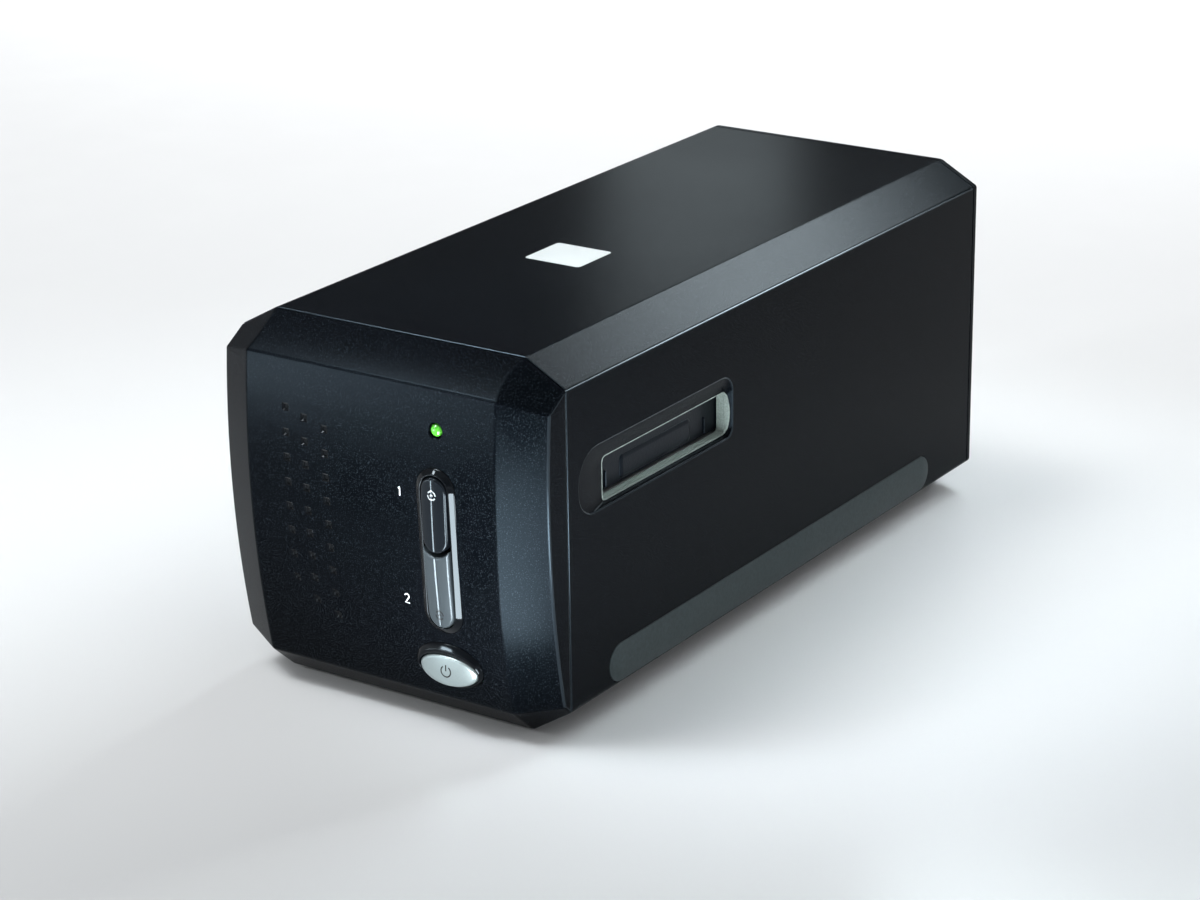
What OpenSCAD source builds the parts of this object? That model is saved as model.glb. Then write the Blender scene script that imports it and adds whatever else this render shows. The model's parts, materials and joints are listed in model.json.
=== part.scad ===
// Desktop film scanner for 35 mm strips and mounted slides.
// Frame: origin on the floor under the middle, +Z up, front faces -Y, millimetres.

/* [Housing] */
// Width across the side walls
body_w = 120; // [116:1:140]
// Depth from the front apex to the back face
body_d = 272; // [268:1:300]
// Height of the housing above its feet
body_h = 118.5; // [116:0.5:130]
// Wall thickness of the shells
wall = 2.5; // [2.4:0.1:2.8]
// Width of the long chamfers seen from the front
chamfer_w = 14; // [10:0.5:16]
// Height of the upper chamfers
chamfer_top = 7.75; // [6:0.25:10]
// Height of the lower chamfers
chamfer_bottom = 8.9; // [7:0.1:10]
// Rounding of the long edges
edge_r = 0.8; // [0.4:0.1:1.5]
// Gap at the seams between shells
seam = 0.3; // [0.1:0.05:0.5]
// Reach of the locating lips behind a seam
lip_l = 4; // [3:0.5:5]
// Thickness of the locating lips
lip_t = 1.5; // [1.2:0.1:1.8]
// Thickness of the rear panel
rear_t = 2.8; // [2.2:0.1:3.4]
// Height of the rubber feet below the housing
foot_h = 1.5; // [1:0.1:3]
// Radius of the rubber feet
foot_r = 6.5; // [5:0.5:8]

/* [Front bezel] */
// Depth of the bezel from the apex to its seam
bezel_d = 16.85; // [15.5:0.05:19]
// Radius of the bowed front face
front_r = 335; // [300:5:400]
// Height of the bow's apex above the housing floor
apex_h = 76.25; // [70:0.25:82]
// Set-back of the side chamfers
bezel_back = 7.3; // [6:0.1:8.5]
// Drop of the top chamfer at the front face
bezel_top = 9.4; // [8:0.1:11]
// Bulge of the top chamfer's middle
crown_top = 0.6; // [0.3:0.05:0.8]
// Rise of the bottom chamfer at the front face
bezel_bottom = 9; // [8:0.1:10.5]
// Side of the square dimples
dimple = 2.2; // [1.6:0.1:2.8]
// Depth of the dimples
dimple_d = 0.6; // [0.3:0.1:1]

/* [Controls] */
// Sideways place of the controls
ctrl_x = 24.8; // [22:0.1:27]
// Width of the scan buttons
scan_w = 9.2; // [8:0.1:10]
// Distance of the upper scan button's lower end below the housing's top
upper_low = 59.5; // [58:0.1:60.5]
// Distance of the upper scan button's top below the housing's top
upper_high = 35.7; // [34.5:0.1:37]
// Height of the lower scan button's lower end above the housing floor
lower_z0 = 34.4; // [33.5:0.1:36]
// Margin of the scan surround outside the buttons
surround_m = 2.5; // [2.2:0.1:3]
// Height of the glossy surrounds over the front face
surround_h = 1.4; // [1:0.1:2]
// Height of the buttons' edges over the front face
button_h = 1.6; // [1.2:0.1:2.2]
// Extra height of a button's crown
button_crown = 0.6; // [0.3:0.1:1]
// Width of the power button
power_w = 21; // [18:0.5:22]
// Height of the power button
power_h = 9.6; // [8.5:0.1:10.5]
// Height of the power button's middle above the housing floor
power_z = 19.7; // [19:0.1:20.5]
// Upward offset of the power surround from its button
power_up = 1.1; // [0.6:0.1:1.4]
// Distance of the status lamp below the housing's top
led_down = 21.8; // [20.5:0.1:24.5]
// Radius of the status lamp
led_r = 1.5; // [1.2:0.1:1.8]
// Clearance round the buttons
button_gap = 0.3; // [0.2:0.05:0.4]
// Travel of the buttons
button_travel = 0.8; // [0.5:0.1:1]

/* [Film slot] */
// Height of the slot's sill above the housing floor
slot_z = 69.4; // [67:0.1:71]
// Height of the slot
slot_h = 13.7; // [12.5:0.1:14.5]
// Length of the slot along the body
slot_l = 69.4; // [66:0.2:72]
// Distance of the slot's front end behind the front apex
slot_front = 38; // [36:0.5:40]
// Depth of the moulded scoop in the side wall
scoop_d = 2; // [1.4:0.1:2]
// Distance of the dust door inside the side wall's outer face
door_in = 5.8; // [5.4:0.1:6.4]
// Thickness of the dust door
door_t = 1.3; // [1.1:0.1:1.6]
// Radius of the door's hinge barrel
barrel_r = 1.9; // [1.8:0.05:2.1]
// Radius of the door's hinge pin
pin_r = 1; // [0.9:0.05:1.1]
// Running clearance of pins and shafts
run_gap = 0.05; // [0.03:0.01:0.08]

/* [Side strips] */
// Distance of a strip's rear end from the back face
strip_rear = 32.4; // [26:0.1:44]
// Height of the rubber strips
strip_h = 12.3; // [11:0.1:13]
// Distance of a strip's front end behind the front apex
strip_front = 37.6; // [34:0.1:42]
// Distance a strip stands out of the side wall
strip_out = 0.8; // [0.5:0.1:1.2]
// Depth of the pocket that holds a strip
strip_in = 0.8; // [0.5:0.1:1]

/* [Optics and drive] */
// Travel of the optical carriage
scan_l = 32; // [26:1:34]
// Radius of the guide rods
rod_r = 3; // [2.5:0.1:3.2]
// Distance of the guide rods inside the side walls' outer faces
rod_in = 26; // [25.5:0.5:27]
// Distance of the carriage tray's edges inside the guide rods
tray_in = 6; // [5.5:0.5:8]
// Radius of the belt pulleys
pulley_r = 5; // [4.6:0.1:5.2]
// Radius of the motor can
motor_r = 12.5; // [11:0.5:12.5]
// Radius of the lens barrel
lens_r = 11; // [9:0.5:12]
// Thickness of the circuit boards
board_t = 1.6; // [1:0.1:1.8]

/* [Hidden] */
$fn = 48;

// Housing planes
half_w = body_w / 2;
front_out = button_h + button_crown;
y_front = (front_out - body_d) / 2;
y_back = (front_out + body_d) / 2;
y_seam = y_front + bezel_d;
y_rear = y_back - rear_t;
z_floor = foot_h;
z_top = foot_h + body_h;
z_side_top = z_top - chamfer_top;
z_side_bottom = z_floor + chamfer_bottom;
z_apex = z_floor + apex_h;
y_axis = y_front + front_r;
in_w = half_w - wall;
in_floor = z_floor + wall;

// Fits and small parts
fit_gap = 0.2;
lip_gap = 0.2;
lip_root = 1.2;
facet_in = 0.05;
post_r = 2.5;
screw_r = 1.1;
screw_l = 5;
head_r = 2.6;
head_h = 1.8;
head_sink = 0.3;

// Slot and doors
slot_y0 = y_front + slot_front;
slot_y1 = slot_y0 + slot_l;
slot_y = (slot_y0 + slot_y1) / 2;
slot_z0 = z_floor + slot_z;
slot_z1 = slot_z0 + slot_h;
door_x = half_w - door_in;
door_over = 1;
barrel_dip = 0.3;
hinge_x = door_x - barrel_r;
hinge_z = slot_z1 + barrel_r - barrel_dip;
door_y0 = slot_y0 - door_over;
door_y1 = slot_y1 + door_over;
lip_x = door_x + seam;
guide_gap = 0.4;
guide_y0 = door_y0 - guide_gap;
guide_y1 = door_y1 + guide_gap;
guide_wall = 3.6;
spring_l = 6;

// Base frame and columns
frame_lift = 6;
frame_t = 3;
frame_in = 6;
frame_end = 3;
frame_z = in_floor + frame_lift;
frame_top = frame_z + frame_t;
frame_half = half_w - frame_in;
frame_y0 = y_seam + lip_l + frame_end;
frame_y1 = y_rear - lip_l - frame_end;
column_r = 3;
column_x = frame_half - column_r - fit_gap;
guide_plate = 3;
guide_z0 = slot_z0 - guide_plate - seam;

// Optics: heights follow the base frame, lengths follow the slot and the rear panel
rod_lift = 9;
rod_z = frame_top + rod_lift;
rod_x = half_w - rod_in;
tray_lift = 15;
tray_z = frame_top + tray_lift;
tray_t = 3;
tray_top = tray_z + tray_t;
tray_half = rod_x - tray_in;
axis_lift = 17;
axis_z = tray_z + axis_lift;
mirror_room = 18;
mirror_y = slot_y + scan_l / 2;
tray_rear = 42.5;
tray_y0 = mirror_y - mirror_room;
tray_y1 = y_rear - tray_rear;
sensor_in = 8;
sensor_y = tray_y1 - sensor_in;
sensor_h = 10;
sensor_t = 3;
sensor_end = 8;
sensor_board_in = 3;
sensor_board_h = 18;
lens_l = 28;
lens_fore = 5;
lens_y0 = (mirror_y + sensor_y) / 2 - lens_fore;
lens_y1 = lens_y0 + lens_l;
cradle_w = 6;
bush_wall = 1.5;
bush_r = rod_r + bush_wall;
bush_l = 12;
bush_front = 14;
bush_rear = 32;
bush_ys = [tray_y0 + bush_front, tray_y1 - bush_rear];
fork_y = (bush_ys[0] + bush_ys[1]) / 2;
ear_l = 5;
ear_half = rod_r + 2;
rod_end = 7;
rod_y0 = frame_y0;
rod_y1 = tray_y1 - rod_end;

// Belt drive
belt_t = 1.2;
belt_w = 4;
belt_gap = 0.15;
belt_lift = 24.5;
belt_z = frame_top + belt_lift;
pulley_gap = 3.5;
pulley_x = rod_x + rod_r + pulley_gap;
pulley_h = 6;
pulley_z = belt_z - pulley_h / 2;
flange_t = 0.8;
shaft_r = 1;
shaft_in = 7;
motor_gap = 0.7;
motor_y = tray_y1 + motor_r + motor_gap;
motor_h = 21;
motor_ear = 4;
motor_ear_t = 1.2;
idler_fore = 2;
idler_y = slot_y0 - idler_fore;
idler_r = 1.5;
idler_foot = 12;
idler_foot_t = 2;
spring_room = 12;
spring_lift = 5;
spring_seat_h = 9;
spring_seat_w = 6;
spring_y1 = idler_y + idler_foot / 2 + spring_room;
clamp_l = 12;
clamp_in = 5;
clamp_wall = 2;

// Circuit boards
board_back = 2.4;
panel_board_y = y_seam - board_back;
main_down = 28;
main_z = z_top - main_down;
main_fore = 33;
main_rear = 40.8;
main_y0 = slot_y1 + main_fore;
main_y1 = y_rear - main_rear;
io_lift = 7;
io_z = frame_top + io_lift;
io_in = 6;
io_gap = 4;
usb_x = 2;
usb_w = 12;
usb_h = 10.9;
usb_sink = 0.8;
usb_l = 16;
jack_x = -28;
jack_r = 3;
jack_rim = 1.2;
jack_w = 9;
jack_l = 14;
port_z = io_z + board_t;
io_x0 = io_in - frame_half;
io_x1 = usb_x + usb_w;
io_posts = [
    for (x = [io_x0 + io_gap, io_x1 - io_gap], y = [tray_y1 + 2 * io_gap, y_rear - 3 * io_gap]) [x, y]
];

// Controls
upper_z0 = body_h - upper_low;
upper_z1 = body_h - upper_high;
upper_z = z_floor + (upper_z0 + upper_z1) / 2;
lower_z = z_floor + (lower_z0 + upper_z0) / 2;
power_mid = z_floor + power_z;
led_mid = z_top - led_down;
led_rim = 0.9;
led_sink = 1;
power_rim_x = 1.7;
power_rim_z = 2.7;
surround_slope = 1.2;
power_slope = 0.7;
skirt_t = 1;
skirt_l = wall + fit_gap;
tab_over = 1;
tab_t = 1.2;
tab_half = 3;
stem_r = 1.75;
groove_d = 0.3;
switch_w = 6;
switch_d = 3.5;
switch_y = panel_board_y - switch_d;
board_half = 17;
board_low = 12.5;
board_high = 18;
board_z0 = z_floor + board_low;
board_z1 = z_top - board_high;
ribbon_w = 20;
ribbon_t = 0.4;
plug_h = 5;
plug_d = 3;
post_in = 4;
post_side = 2.7;
board_posts = [
    for (s = [-1, 1], z = [board_z0 + post_in, board_z1 - post_in]) [ctrl_x + s * (board_half - post_side), z]
];

// Cover, label and feet
cover_ribs = 4;
rib_h = 3;
label_w = 21;
label_l = 19.3;
label_t = 0.25;
label_left = 11;
label_back = 97.7;
label_x0 = -label_left;
label_y0 = y_front + label_back;
label_sink = 0.2;
foot_in = 0.6;
foot_round = 0.6;
foot_edge = 1.5;
foot_front = 30;
foot_rear = 24;
foot_x = half_w - chamfer_w - foot_r - foot_edge;
foot_places = [for (s = [-1, 1], y = [y_front + foot_front, y_back - foot_rear]) [s * foot_x, y]];

// Scoop and strips
scoop_front = 15.2;
scoop_rear = 1.5;
scoop_low = 1;
scoop_high = 6;
slot_round = 1.5;
strip_lift = 0.5;
strip_rim = 0.15;
strip_l = body_d - strip_front - strip_rear;
strip_y = y_front + strip_front + strip_l / 2;
strip_z = z_side_bottom + strip_lift + strip_h / 2;
door_low = 0.5;
pad_out = 0.6;
pad_in = 0.8;

// Frame and rear panel
frame_post_in = 14;
frame_post_x = rod_x - frame_post_in;
frame_post_end = 6;
frame_posts = [
    for (x = [-frame_post_x, frame_post_x])
        for (y = [frame_y0 + frame_post_end, 0, frame_y1 - frame_post_end]) [x, y]
];
rear_bevel = 1;
rear_boss_r = 4.5;
rear_boss_l = 10;
rear_screw_in = 4;
rear_screw_low = 12;
rear_screw_high = 14;
rear_screw_x = in_w - rear_screw_in;
rear_screw_zs = [z_side_bottom + rear_screw_low, z_side_top - rear_screw_high];

// Lamp, gate and mirror
lamp_in = 8;
lamp_half = rod_x - lamp_in;
lamp_y_half = 21;
lamp_lift = 0.7;
lamp_room = 3.2;
lamp_flange = 5;
lamp_z0 = slot_z1 + lamp_lift;
lamp_z1 = z_top - wall - rib_h - lamp_room;
diffuser_t = 2;
rail_w = 6;
rail_t = 2;
gate_in = 6;
gate_w = 2 * (lamp_half - gate_in);
gate_l = 32;
mirror_in = 6;
mirror_l = 28;
mirror_half = tray_half - mirror_in;
mirror_t = 3;
cheek_t = 2.5;

// Dimple columns: sideways place, distance of the top dimple below the housing's top, pitch, count
dimples = [[-31, 24.6, 7.95, 8], [-24, 26.8, 7.45, 9], [-16.4, 29, 7.65, 9]];

shell_col = "#17191d";
gloss_col = "#08090b";
button_col = "#8d9699";
rubber_col = "#3a4748";
frame_col = "#5c6066";
board_col = "#1f5c3a";
metal_col = "#b9bcc0";
white_col = "#e9ebee";

// Cross-section of the housing, anticlockwise in X and Z
function section() = [
    [half_w, z_side_bottom], [half_w, z_side_top],
    [half_w - chamfer_w, z_top], [-half_w + chamfer_w, z_top],
    [-half_w, z_side_top], [-half_w, z_side_bottom],
    [-half_w + chamfer_w, z_floor], [half_w - chamfer_w, z_floor]
];

// Inward normal of the edge that leaves point i of an anticlockwise outline
function edge_normal(p, i) =
    let (a = p[i % len(p)], b = p[(i + 1) % len(p)], d = (b - a) / norm(b - a))
    [-d[1], d[0]];

// Point i of the outline moved in by t, along its corner's bisector
function inset_point(p, i, t) =
    let (n1 = edge_normal(p, i + len(p) - 1), n2 = edge_normal(p, i))
    p[i] + t * (n1 + n2) / (1 + n1 * n2);

function inset(p, t) = [for (i = [0 : len(p) - 1]) inset_point(p, i, t)];

// The outline with its corners rounded by arcs of radius r, or of one radius for each corner
function rounded(p, r, steps = 4) = [
    for (i = [0 : len(p) - 1])
        let (n1 = edge_normal(p, i + len(p) - 1), n2 = edge_normal(p, i), q = is_list(r) ? r[i] : r,
             a1 = atan2(-n1[1], -n1[0]), turn = acos(min(1, n1 * n2)), c = inset_point(p, i, q))
        for (k = [0 : steps]) c + q * [cos(a1 + turn * k / steps), sin(a1 + turn * k / steps)]
];

// Outline of an oval with half axes a and b
function oval(a, b, steps = 40) = [
    for (k = [0 : steps - 1]) [a * cos(360 * k / steps), b * sin(360 * k / steps)]
];

// Y of the bowed front face at height z, set back by d along the bow's radius
function face_y(z, d = 0) = y_axis - sqrt(pow(front_r - d, 2) - pow(z - z_apex, 2));

// Where the bezel's front face ends above and below
function face_top() = z_top - bezel_top;
function face_bottom() = z_floor + bezel_bottom;

// A drawing in X and Z, drawn out from y0 to y1
module along_y(y0, y1) {
    translate([0, y1, 0]) rotate([90, 0, 0]) linear_extrude(y1 - y0) children();
}

// A drawing in Y and Z, drawn out from x0 to x1
module along_x(x0, x1) {
    translate([x0, 0, 0]) rotate([90, 0, 90]) linear_extrude(x1 - x0) children();
}

// A box given by its lowest and highest corners
module block(lo, hi) {
    translate(lo) cube(hi - lo);
}

// A round rod along Y
module rod_y(x, z, y0, y1, r) {
    translate([x, y1, z]) rotate([90, 0, 0]) cylinder(r = r, h = y1 - y0);
}

module stadium(w, l) {
    square([w, l - w], center = true);
    for (s = [-1, 1]) translate([0, s * (l - w) / 2]) circle(d = w);
}

// A ring of the housing section, between two insets
module section_ring(t_out, t_in) {
    difference() {
        polygon(inset(section(), t_out));
        polygon(inset(section(), t_in));
    }
}

// A layer of the bowed front, between heights h0 and h1 over the face
module front_band(h0, h1) {
    translate([-body_w, y_axis, z_apex]) rotate([0, 90, 0])
    difference() {
        cylinder(r = front_r + h1, h = 2 * body_w, $fn = 360);
        translate([0, 0, -1]) cylinder(r = front_r + h0, h = 2 * body_w + 2, $fn = 360);
    }
}

// Cuts away what lies beyond a plane through p with outward normal n
module cut_beyond(p, n) {
    translate(p) rotate([0, acos(n[2] / norm(n)), atan2(n[1], n[0])])
    translate([-body_w, -body_w, 0]) cube(2 * body_w);
}

// Cuts away what lies beyond the crowned top chamfer, moved in by t
module crown_cut(t) {
    y0 = face_y(face_top());
    chord = [y_seam - y0, z_top - face_top()];
    out = [-chord[1], chord[0]] / norm(chord);
    crown_r = (chord * chord / (4 * crown_top) + crown_top) / 2;
    mid = [y0, face_top()] + chord / 2 + (crown_top - crown_r) * out;
    difference() {
        cut_beyond([0, y_seam - t * out[0], z_top - t * out[1]], [0, out[0], out[1]]);
        translate([-body_w, mid[0], mid[1]])
            rotate([0, 90, 0]) cylinder(r = crown_r - t, h = 2 * body_w, $fn = 360);
    }
}

// The faceted, bowed block of the bezel, with every face moved in by t
module bezel_block(t) {
    edge = half_w - chamfer_w;
    top = [edge, y_seam, z_top];
    low = [edge, y_seam, z_floor];
    face_hi = [edge, face_y(face_top()), face_top()];
    face_lo = [edge, face_y(face_bottom()), face_bottom()];
    plan = [
        [front_r, edge], [front_r - bezel_back, half_w], [front_r - 3 * bezel_d, half_w],
        [front_r - 3 * bezel_d, -half_w], [front_r - bezel_back, -half_w], [front_r, -edge]
    ];
    top_n = cross(face_hi - top, [half_w, y_seam, z_side_top] - top);
    low_n = cross([half_w, y_seam, z_side_bottom] - low, face_lo - low);
    under_n = cross([1, 0, 0], face_lo - low);
    difference() {
        intersection() {
            translate([0, y_axis, z_apex]) rotate([0, 90, 0])
            rotate_extrude($fn = 360) polygon(inset(plan, t));
            along_y(y_front - 1, t > 0 ? y_seam + 1 : y_seam - seam / 2)
            polygon(t > 0 ? inset(section(), t) : rounded(section(), edge_r));
        }
        crown_cut(t);
        cut_beyond(low - t * under_n / norm(under_n), under_n);
        for (s = [-1, 1], cut = [[top, top_n], [low, low_n]]) {
            n = [s * cut[1][0], cut[1][1], cut[1][2]];
            cut_beyond([s * cut[0][0], cut[0][1], cut[0][2]] - (t + facet_in) * n / norm(n), n);
        }
    }
}

// Outline round both scan buttons
module scan_outline(margin) {
    z0 = z_floor + lower_z0 - margin;
    z1 = z_floor + upper_z1 + margin;
    translate([ctrl_x, (z0 + z1) / 2]) stadium(scan_w + 2 * margin, z1 - z0);
}

module upper_outline() {
    translate([ctrl_x, upper_z]) stadium(scan_w, upper_z1 - upper_z0);
}

// The lower button's top is hollowed to follow the upper button's round end
module lower_outline() {
    round_z = z_floor + upper_z0 + scan_w / 2;
    low_z = z_floor + lower_z0 + scan_w / 2;
    difference() {
        union() {
            translate([ctrl_x, low_z]) circle(d = scan_w);
            translate([ctrl_x - scan_w / 2, low_z]) square([scan_w, round_z - low_z]);
        }
        translate([ctrl_x, round_z]) circle(r = scan_w / 2 + 4 * button_gap);
    }
}

module power_outline(margin) {
    translate([ctrl_x, power_mid]) polygon(oval(power_w / 2 + margin, power_h / 2 + margin));
}

module power_rim(shrink) {
    translate([ctrl_x, power_mid + power_up])
    polygon(oval(power_w / 2 + power_rim_x - shrink, power_h / 2 + power_rim_z - shrink));
}

// A glossy surround: sloping flanks over the face, made from its outline at two heights
module surround(foot, crest, hole, skirt) {
    difference() {
        union() {
            difference() {
                hull() {
                    intersection() {
                        front_band(-0.2, 0.05);
                        along_y(y_front - 2, y_seam) children(foot);
                    }
                    intersection() {
                        front_band(surround_h - 0.05, surround_h);
                        along_y(y_front - 3, y_seam) children(crest);
                    }
                }
                front_band(-bezel_d, 0);
            }
            intersection() {
                front_band(-skirt_l, 0.1);
                along_y(y_front - 2, y_seam) children(skirt);
            }
        }
        along_y(y_front - 5, y_seam) children(hole);
    }
}

// Retaining tabs and stem of a button, behind the bezel, at height z
module button_back(z, w) {
    back_y = face_y(z) + skirt_l + button_gap;
    difference() {
        block([ctrl_x - w / 2 - tab_over, back_y, z - tab_half],
              [ctrl_x + w / 2 + tab_over, back_y + tab_t, z + tab_half]);
        front_band(-skirt_l - button_gap, front_r / 2);
    }
    rod_y(ctrl_x, z, back_y + tab_t / 2, switch_y + button_gap, stem_r);
}

// A scan button: an outline cut from a crowned, grooved, bowed slice
module scan_button(z) {
    steps = 8;
    depth = skirt_l + button_gap + tab_t;
    crest = [
        for (k = [-steps : steps])
            let (u = k / steps)
            [front_r + button_h + button_crown * (1 - u * u) - (k == 0 ? groove_d : 0), u * scan_w / 2]
    ];
    intersection() {
        translate([ctrl_x, y_axis, z_apex]) rotate([0, 90, 0]) rotate_extrude($fn = 360)
        polygon(concat(
            [[front_r - depth, -scan_w / 2]], crest, [[front_r - depth, scan_w / 2]]));
        along_y(y_front - 5, y_seam) children();
    }
    button_back(z, scan_w);
}

module front_bezel() {
    color(shell_col) difference() {
        union() {
            difference() {
                bezel_block(0);
                bezel_block(wall);
            }
            along_y(y_seam - lip_root, y_seam - seam) section_ring(wall - 0.5, wall + lip_gap + lip_t);
            along_y(y_seam - lip_root, y_seam + lip_l) section_ring(wall + lip_gap, wall + lip_gap + lip_t);
            for (p = board_posts) rod_y(p[0], p[1], face_y(p[1]) + wall / 2, panel_board_y, post_r);
        }
        along_y(y_front - 5, y_seam - lip_root) scan_outline(button_gap + skirt_t + fit_gap);
        along_y(y_front - 5, y_seam - lip_root) power_outline(button_gap + skirt_t + fit_gap);
        rod_y(ctrl_x, led_mid, y_front - 1, y_seam, led_r + fit_gap);
        rod_y(ctrl_x, led_mid, y_front - 1, face_y(led_mid) + led_sink, led_r + led_rim);
        for (c = dimples, k = [0 : c[3] - 1]) {
            z = z_top - c[1] - k * c[2];
            block([c[0] - dimple / 2, y_front - 1, z - dimple / 2],
                  [c[0] + dimple / 2, face_y(z) + dimple_d, z + dimple / 2]);
        }
        for (p = board_posts) rod_y(p[0], p[1], panel_board_y - screw_l, panel_board_y + 1, screw_r);
    }
}

module top_cover() {
    color(shell_col) difference() {
        union() {
            along_y(y_seam + seam / 2, y_rear - seam) difference() {
                polygon(rounded(section(), edge_r));
                polygon(inset(section(), wall));
                translate([-body_w, -body_w]) square([2 * body_w, body_w + z_side_top + seam / 2]);
            }
            for (s = [-1, 1]) scale([s, 1, 1])
            block([in_w - lip_gap - lip_t, y_seam + 2 * lip_l, z_side_top - lip_l],
                  [in_w - lip_gap, y_rear - 2 * lip_l, z_side_top + wall / 2]);
            for (k = [1 : cover_ribs]) {
                y = y_seam + k * (y_rear - y_seam) / (cover_ribs + 1);
                block([chamfer_w - half_w, y, z_top - wall - rib_h],
                      [half_w - chamfer_w, y + lip_t, z_top - wall / 2]);
            }
        }
        block([label_x0, label_y0, z_top - label_sink], [label_x0 + label_w, label_y0 + label_l, z_top + 1]);
    }
}

module label_plate() {
    z = z_top - label_sink;
    color(white_col) block([label_x0, label_y0, z], [label_x0 + label_w, label_y0 + label_l, z + label_t]);
}

// Outline of the slot in Y and Z, grown by m
module slot_outline(m) {
    p = [[slot_y0 - m, slot_z0 - m], [slot_y1 + m, slot_z0 - m],
         [slot_y1 + m, slot_z1 + m], [slot_y0 - m, slot_z1 + m]];
    polygon(rounded(p, slot_round + m));
}

// Outline of the moulded scoop where it meets the side wall
module scoop_outline() {
    lo = [slot_y0 - scoop_front, slot_z0 - scoop_low];
    hi = [slot_y1 + scoop_rear, slot_z1 + scoop_high];
    polygon(rounded([lo, [hi[0], lo[1]], hi, [lo[0], hi[1]]], [8, 3.5, 6, 10]));
}

module strip_outline(gap) {
    translate([strip_y, strip_z]) rotate(90) stadium(strip_h + 2 * gap, strip_l + 2 * gap);
}

module lower_housing() {
    color(shell_col) difference() {
        union() {
            along_y(y_seam + seam / 2, y_rear - seam) difference() {
                polygon(rounded(section(), edge_r));
                polygon(inset(section(), wall));
                translate([-body_w, z_side_top - seam / 2]) square([2 * body_w, body_w]);
                translate([-in_w, z_side_bottom + wall]) square([2 * in_w, body_h]);
            }
            for (p = frame_posts)
                translate([p[0], p[1], in_floor - 1]) cylinder(r = post_r + 1, h = frame_z - in_floor + 1);
            for (s = [-1, 1]) scale([s, 1, 1]) {
                along_x(lip_x, in_w + 0.5) slot_outline(lip_t);
                for (z = rear_screw_zs)
                    rod_y(rear_screw_x, z, y_rear - seam - rear_boss_l, y_rear - seam, rear_boss_r);
            }
        }
        for (s = [-1, 1]) scale([s, 1, 1]) {
            along_x(lip_x - 1, half_w) slot_outline(0);
            hull() {
                along_x(half_w - scoop_d, half_w - scoop_d + 0.01) slot_outline(0);
                along_x(half_w, half_w + 1) scoop_outline();
            }
            along_x(half_w - strip_in, half_w + 1) strip_outline(fit_gap);
            for (z = rear_screw_zs) rod_y(rear_screw_x, z, y_rear - rear_boss_l, y_rear, screw_r);
        }
        for (p = foot_places)
            translate([p[0], p[1], z_floor - 1]) cylinder(r = foot_r + fit_gap, h = 1 + foot_in);
        for (p = frame_posts) translate([p[0], p[1], in_floor]) cylinder(r = screw_r, h = 2 * wall + frame_z);
    }
}

module rear_panel() {
    color(shell_col) difference() {
        union() {
            hull() {
                along_y(y_rear, y_back - rear_bevel) polygon(rounded(section(), edge_r));
                along_y(y_back - rear_bevel, y_back) polygon(rounded(inset(section(), rear_bevel), edge_r));
            }
            along_y(y_rear - lip_l, y_rear + rear_t / 2) section_ring(wall + lip_gap, wall + lip_gap + lip_t);
        }
        for (s = [-1, 1], z = rear_screw_zs) {
            rod_y(s * rear_screw_x, z, y_rear - 2 * lip_l, y_rear, rear_boss_r + lip_gap);
            rod_y(s * rear_screw_x, z, y_rear - 1, y_back + 1, screw_r);
            rod_y(s * rear_screw_x, z, y_back - head_h, y_back + 1, head_r + fit_gap);
        }
        block([usb_x - usb_w / 2 - fit_gap, y_rear - 1, port_z - fit_gap],
              [usb_x + usb_w / 2 + fit_gap, y_back + 1, port_z + usb_h + fit_gap]);
        rod_y(jack_x, port_z + usb_h / 2, y_rear - 1, y_back + 1, jack_r + jack_rim);
    }
}

module rear_screws() {
    color(metal_col) for (s = [-1, 1], z = rear_screw_zs) {
        rod_y(s * rear_screw_x, z, y_rear - rear_boss_l + 1, y_back - head_h, screw_r);
        rod_y(s * rear_screw_x, z, y_back - head_h, y_back - head_sink, head_r);
    }
}

module rubber_feet() {
    high = z_floor + foot_in;
    color(gloss_col) for (p = foot_places) translate([p[0], p[1], 0]) rotate_extrude()
    polygon([[0, 0], [foot_r - foot_round, 0], [foot_r, foot_round], [foot_r, high], [0, high]]);
}

// A rubber strip bedded in its pocket: a stadium in side view, bulging outwards in end view
module side_strip() {
    steps = 8;
    rim = half_w + strip_rim;
    bulge = [
        for (k = [-steps : steps])
            [rim + (strip_out - rim + half_w) * (1 - pow(k / steps, 2)), strip_z + k / steps * strip_h / 2]
    ];
    color(rubber_col) intersection() {
        along_x(half_w - strip_in, half_w + strip_out + 1) strip_outline(0);
        along_y(y_front, y_back) polygon(concat(
            [[half_w - strip_in, strip_z - strip_h / 2]], bulge,
            [[half_w - strip_in, strip_z + strip_h / 2]]));
    }
}

module right_side_strip() { side_strip(); }
module left_side_strip() { mirror([1, 0, 0]) side_strip(); }

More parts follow.
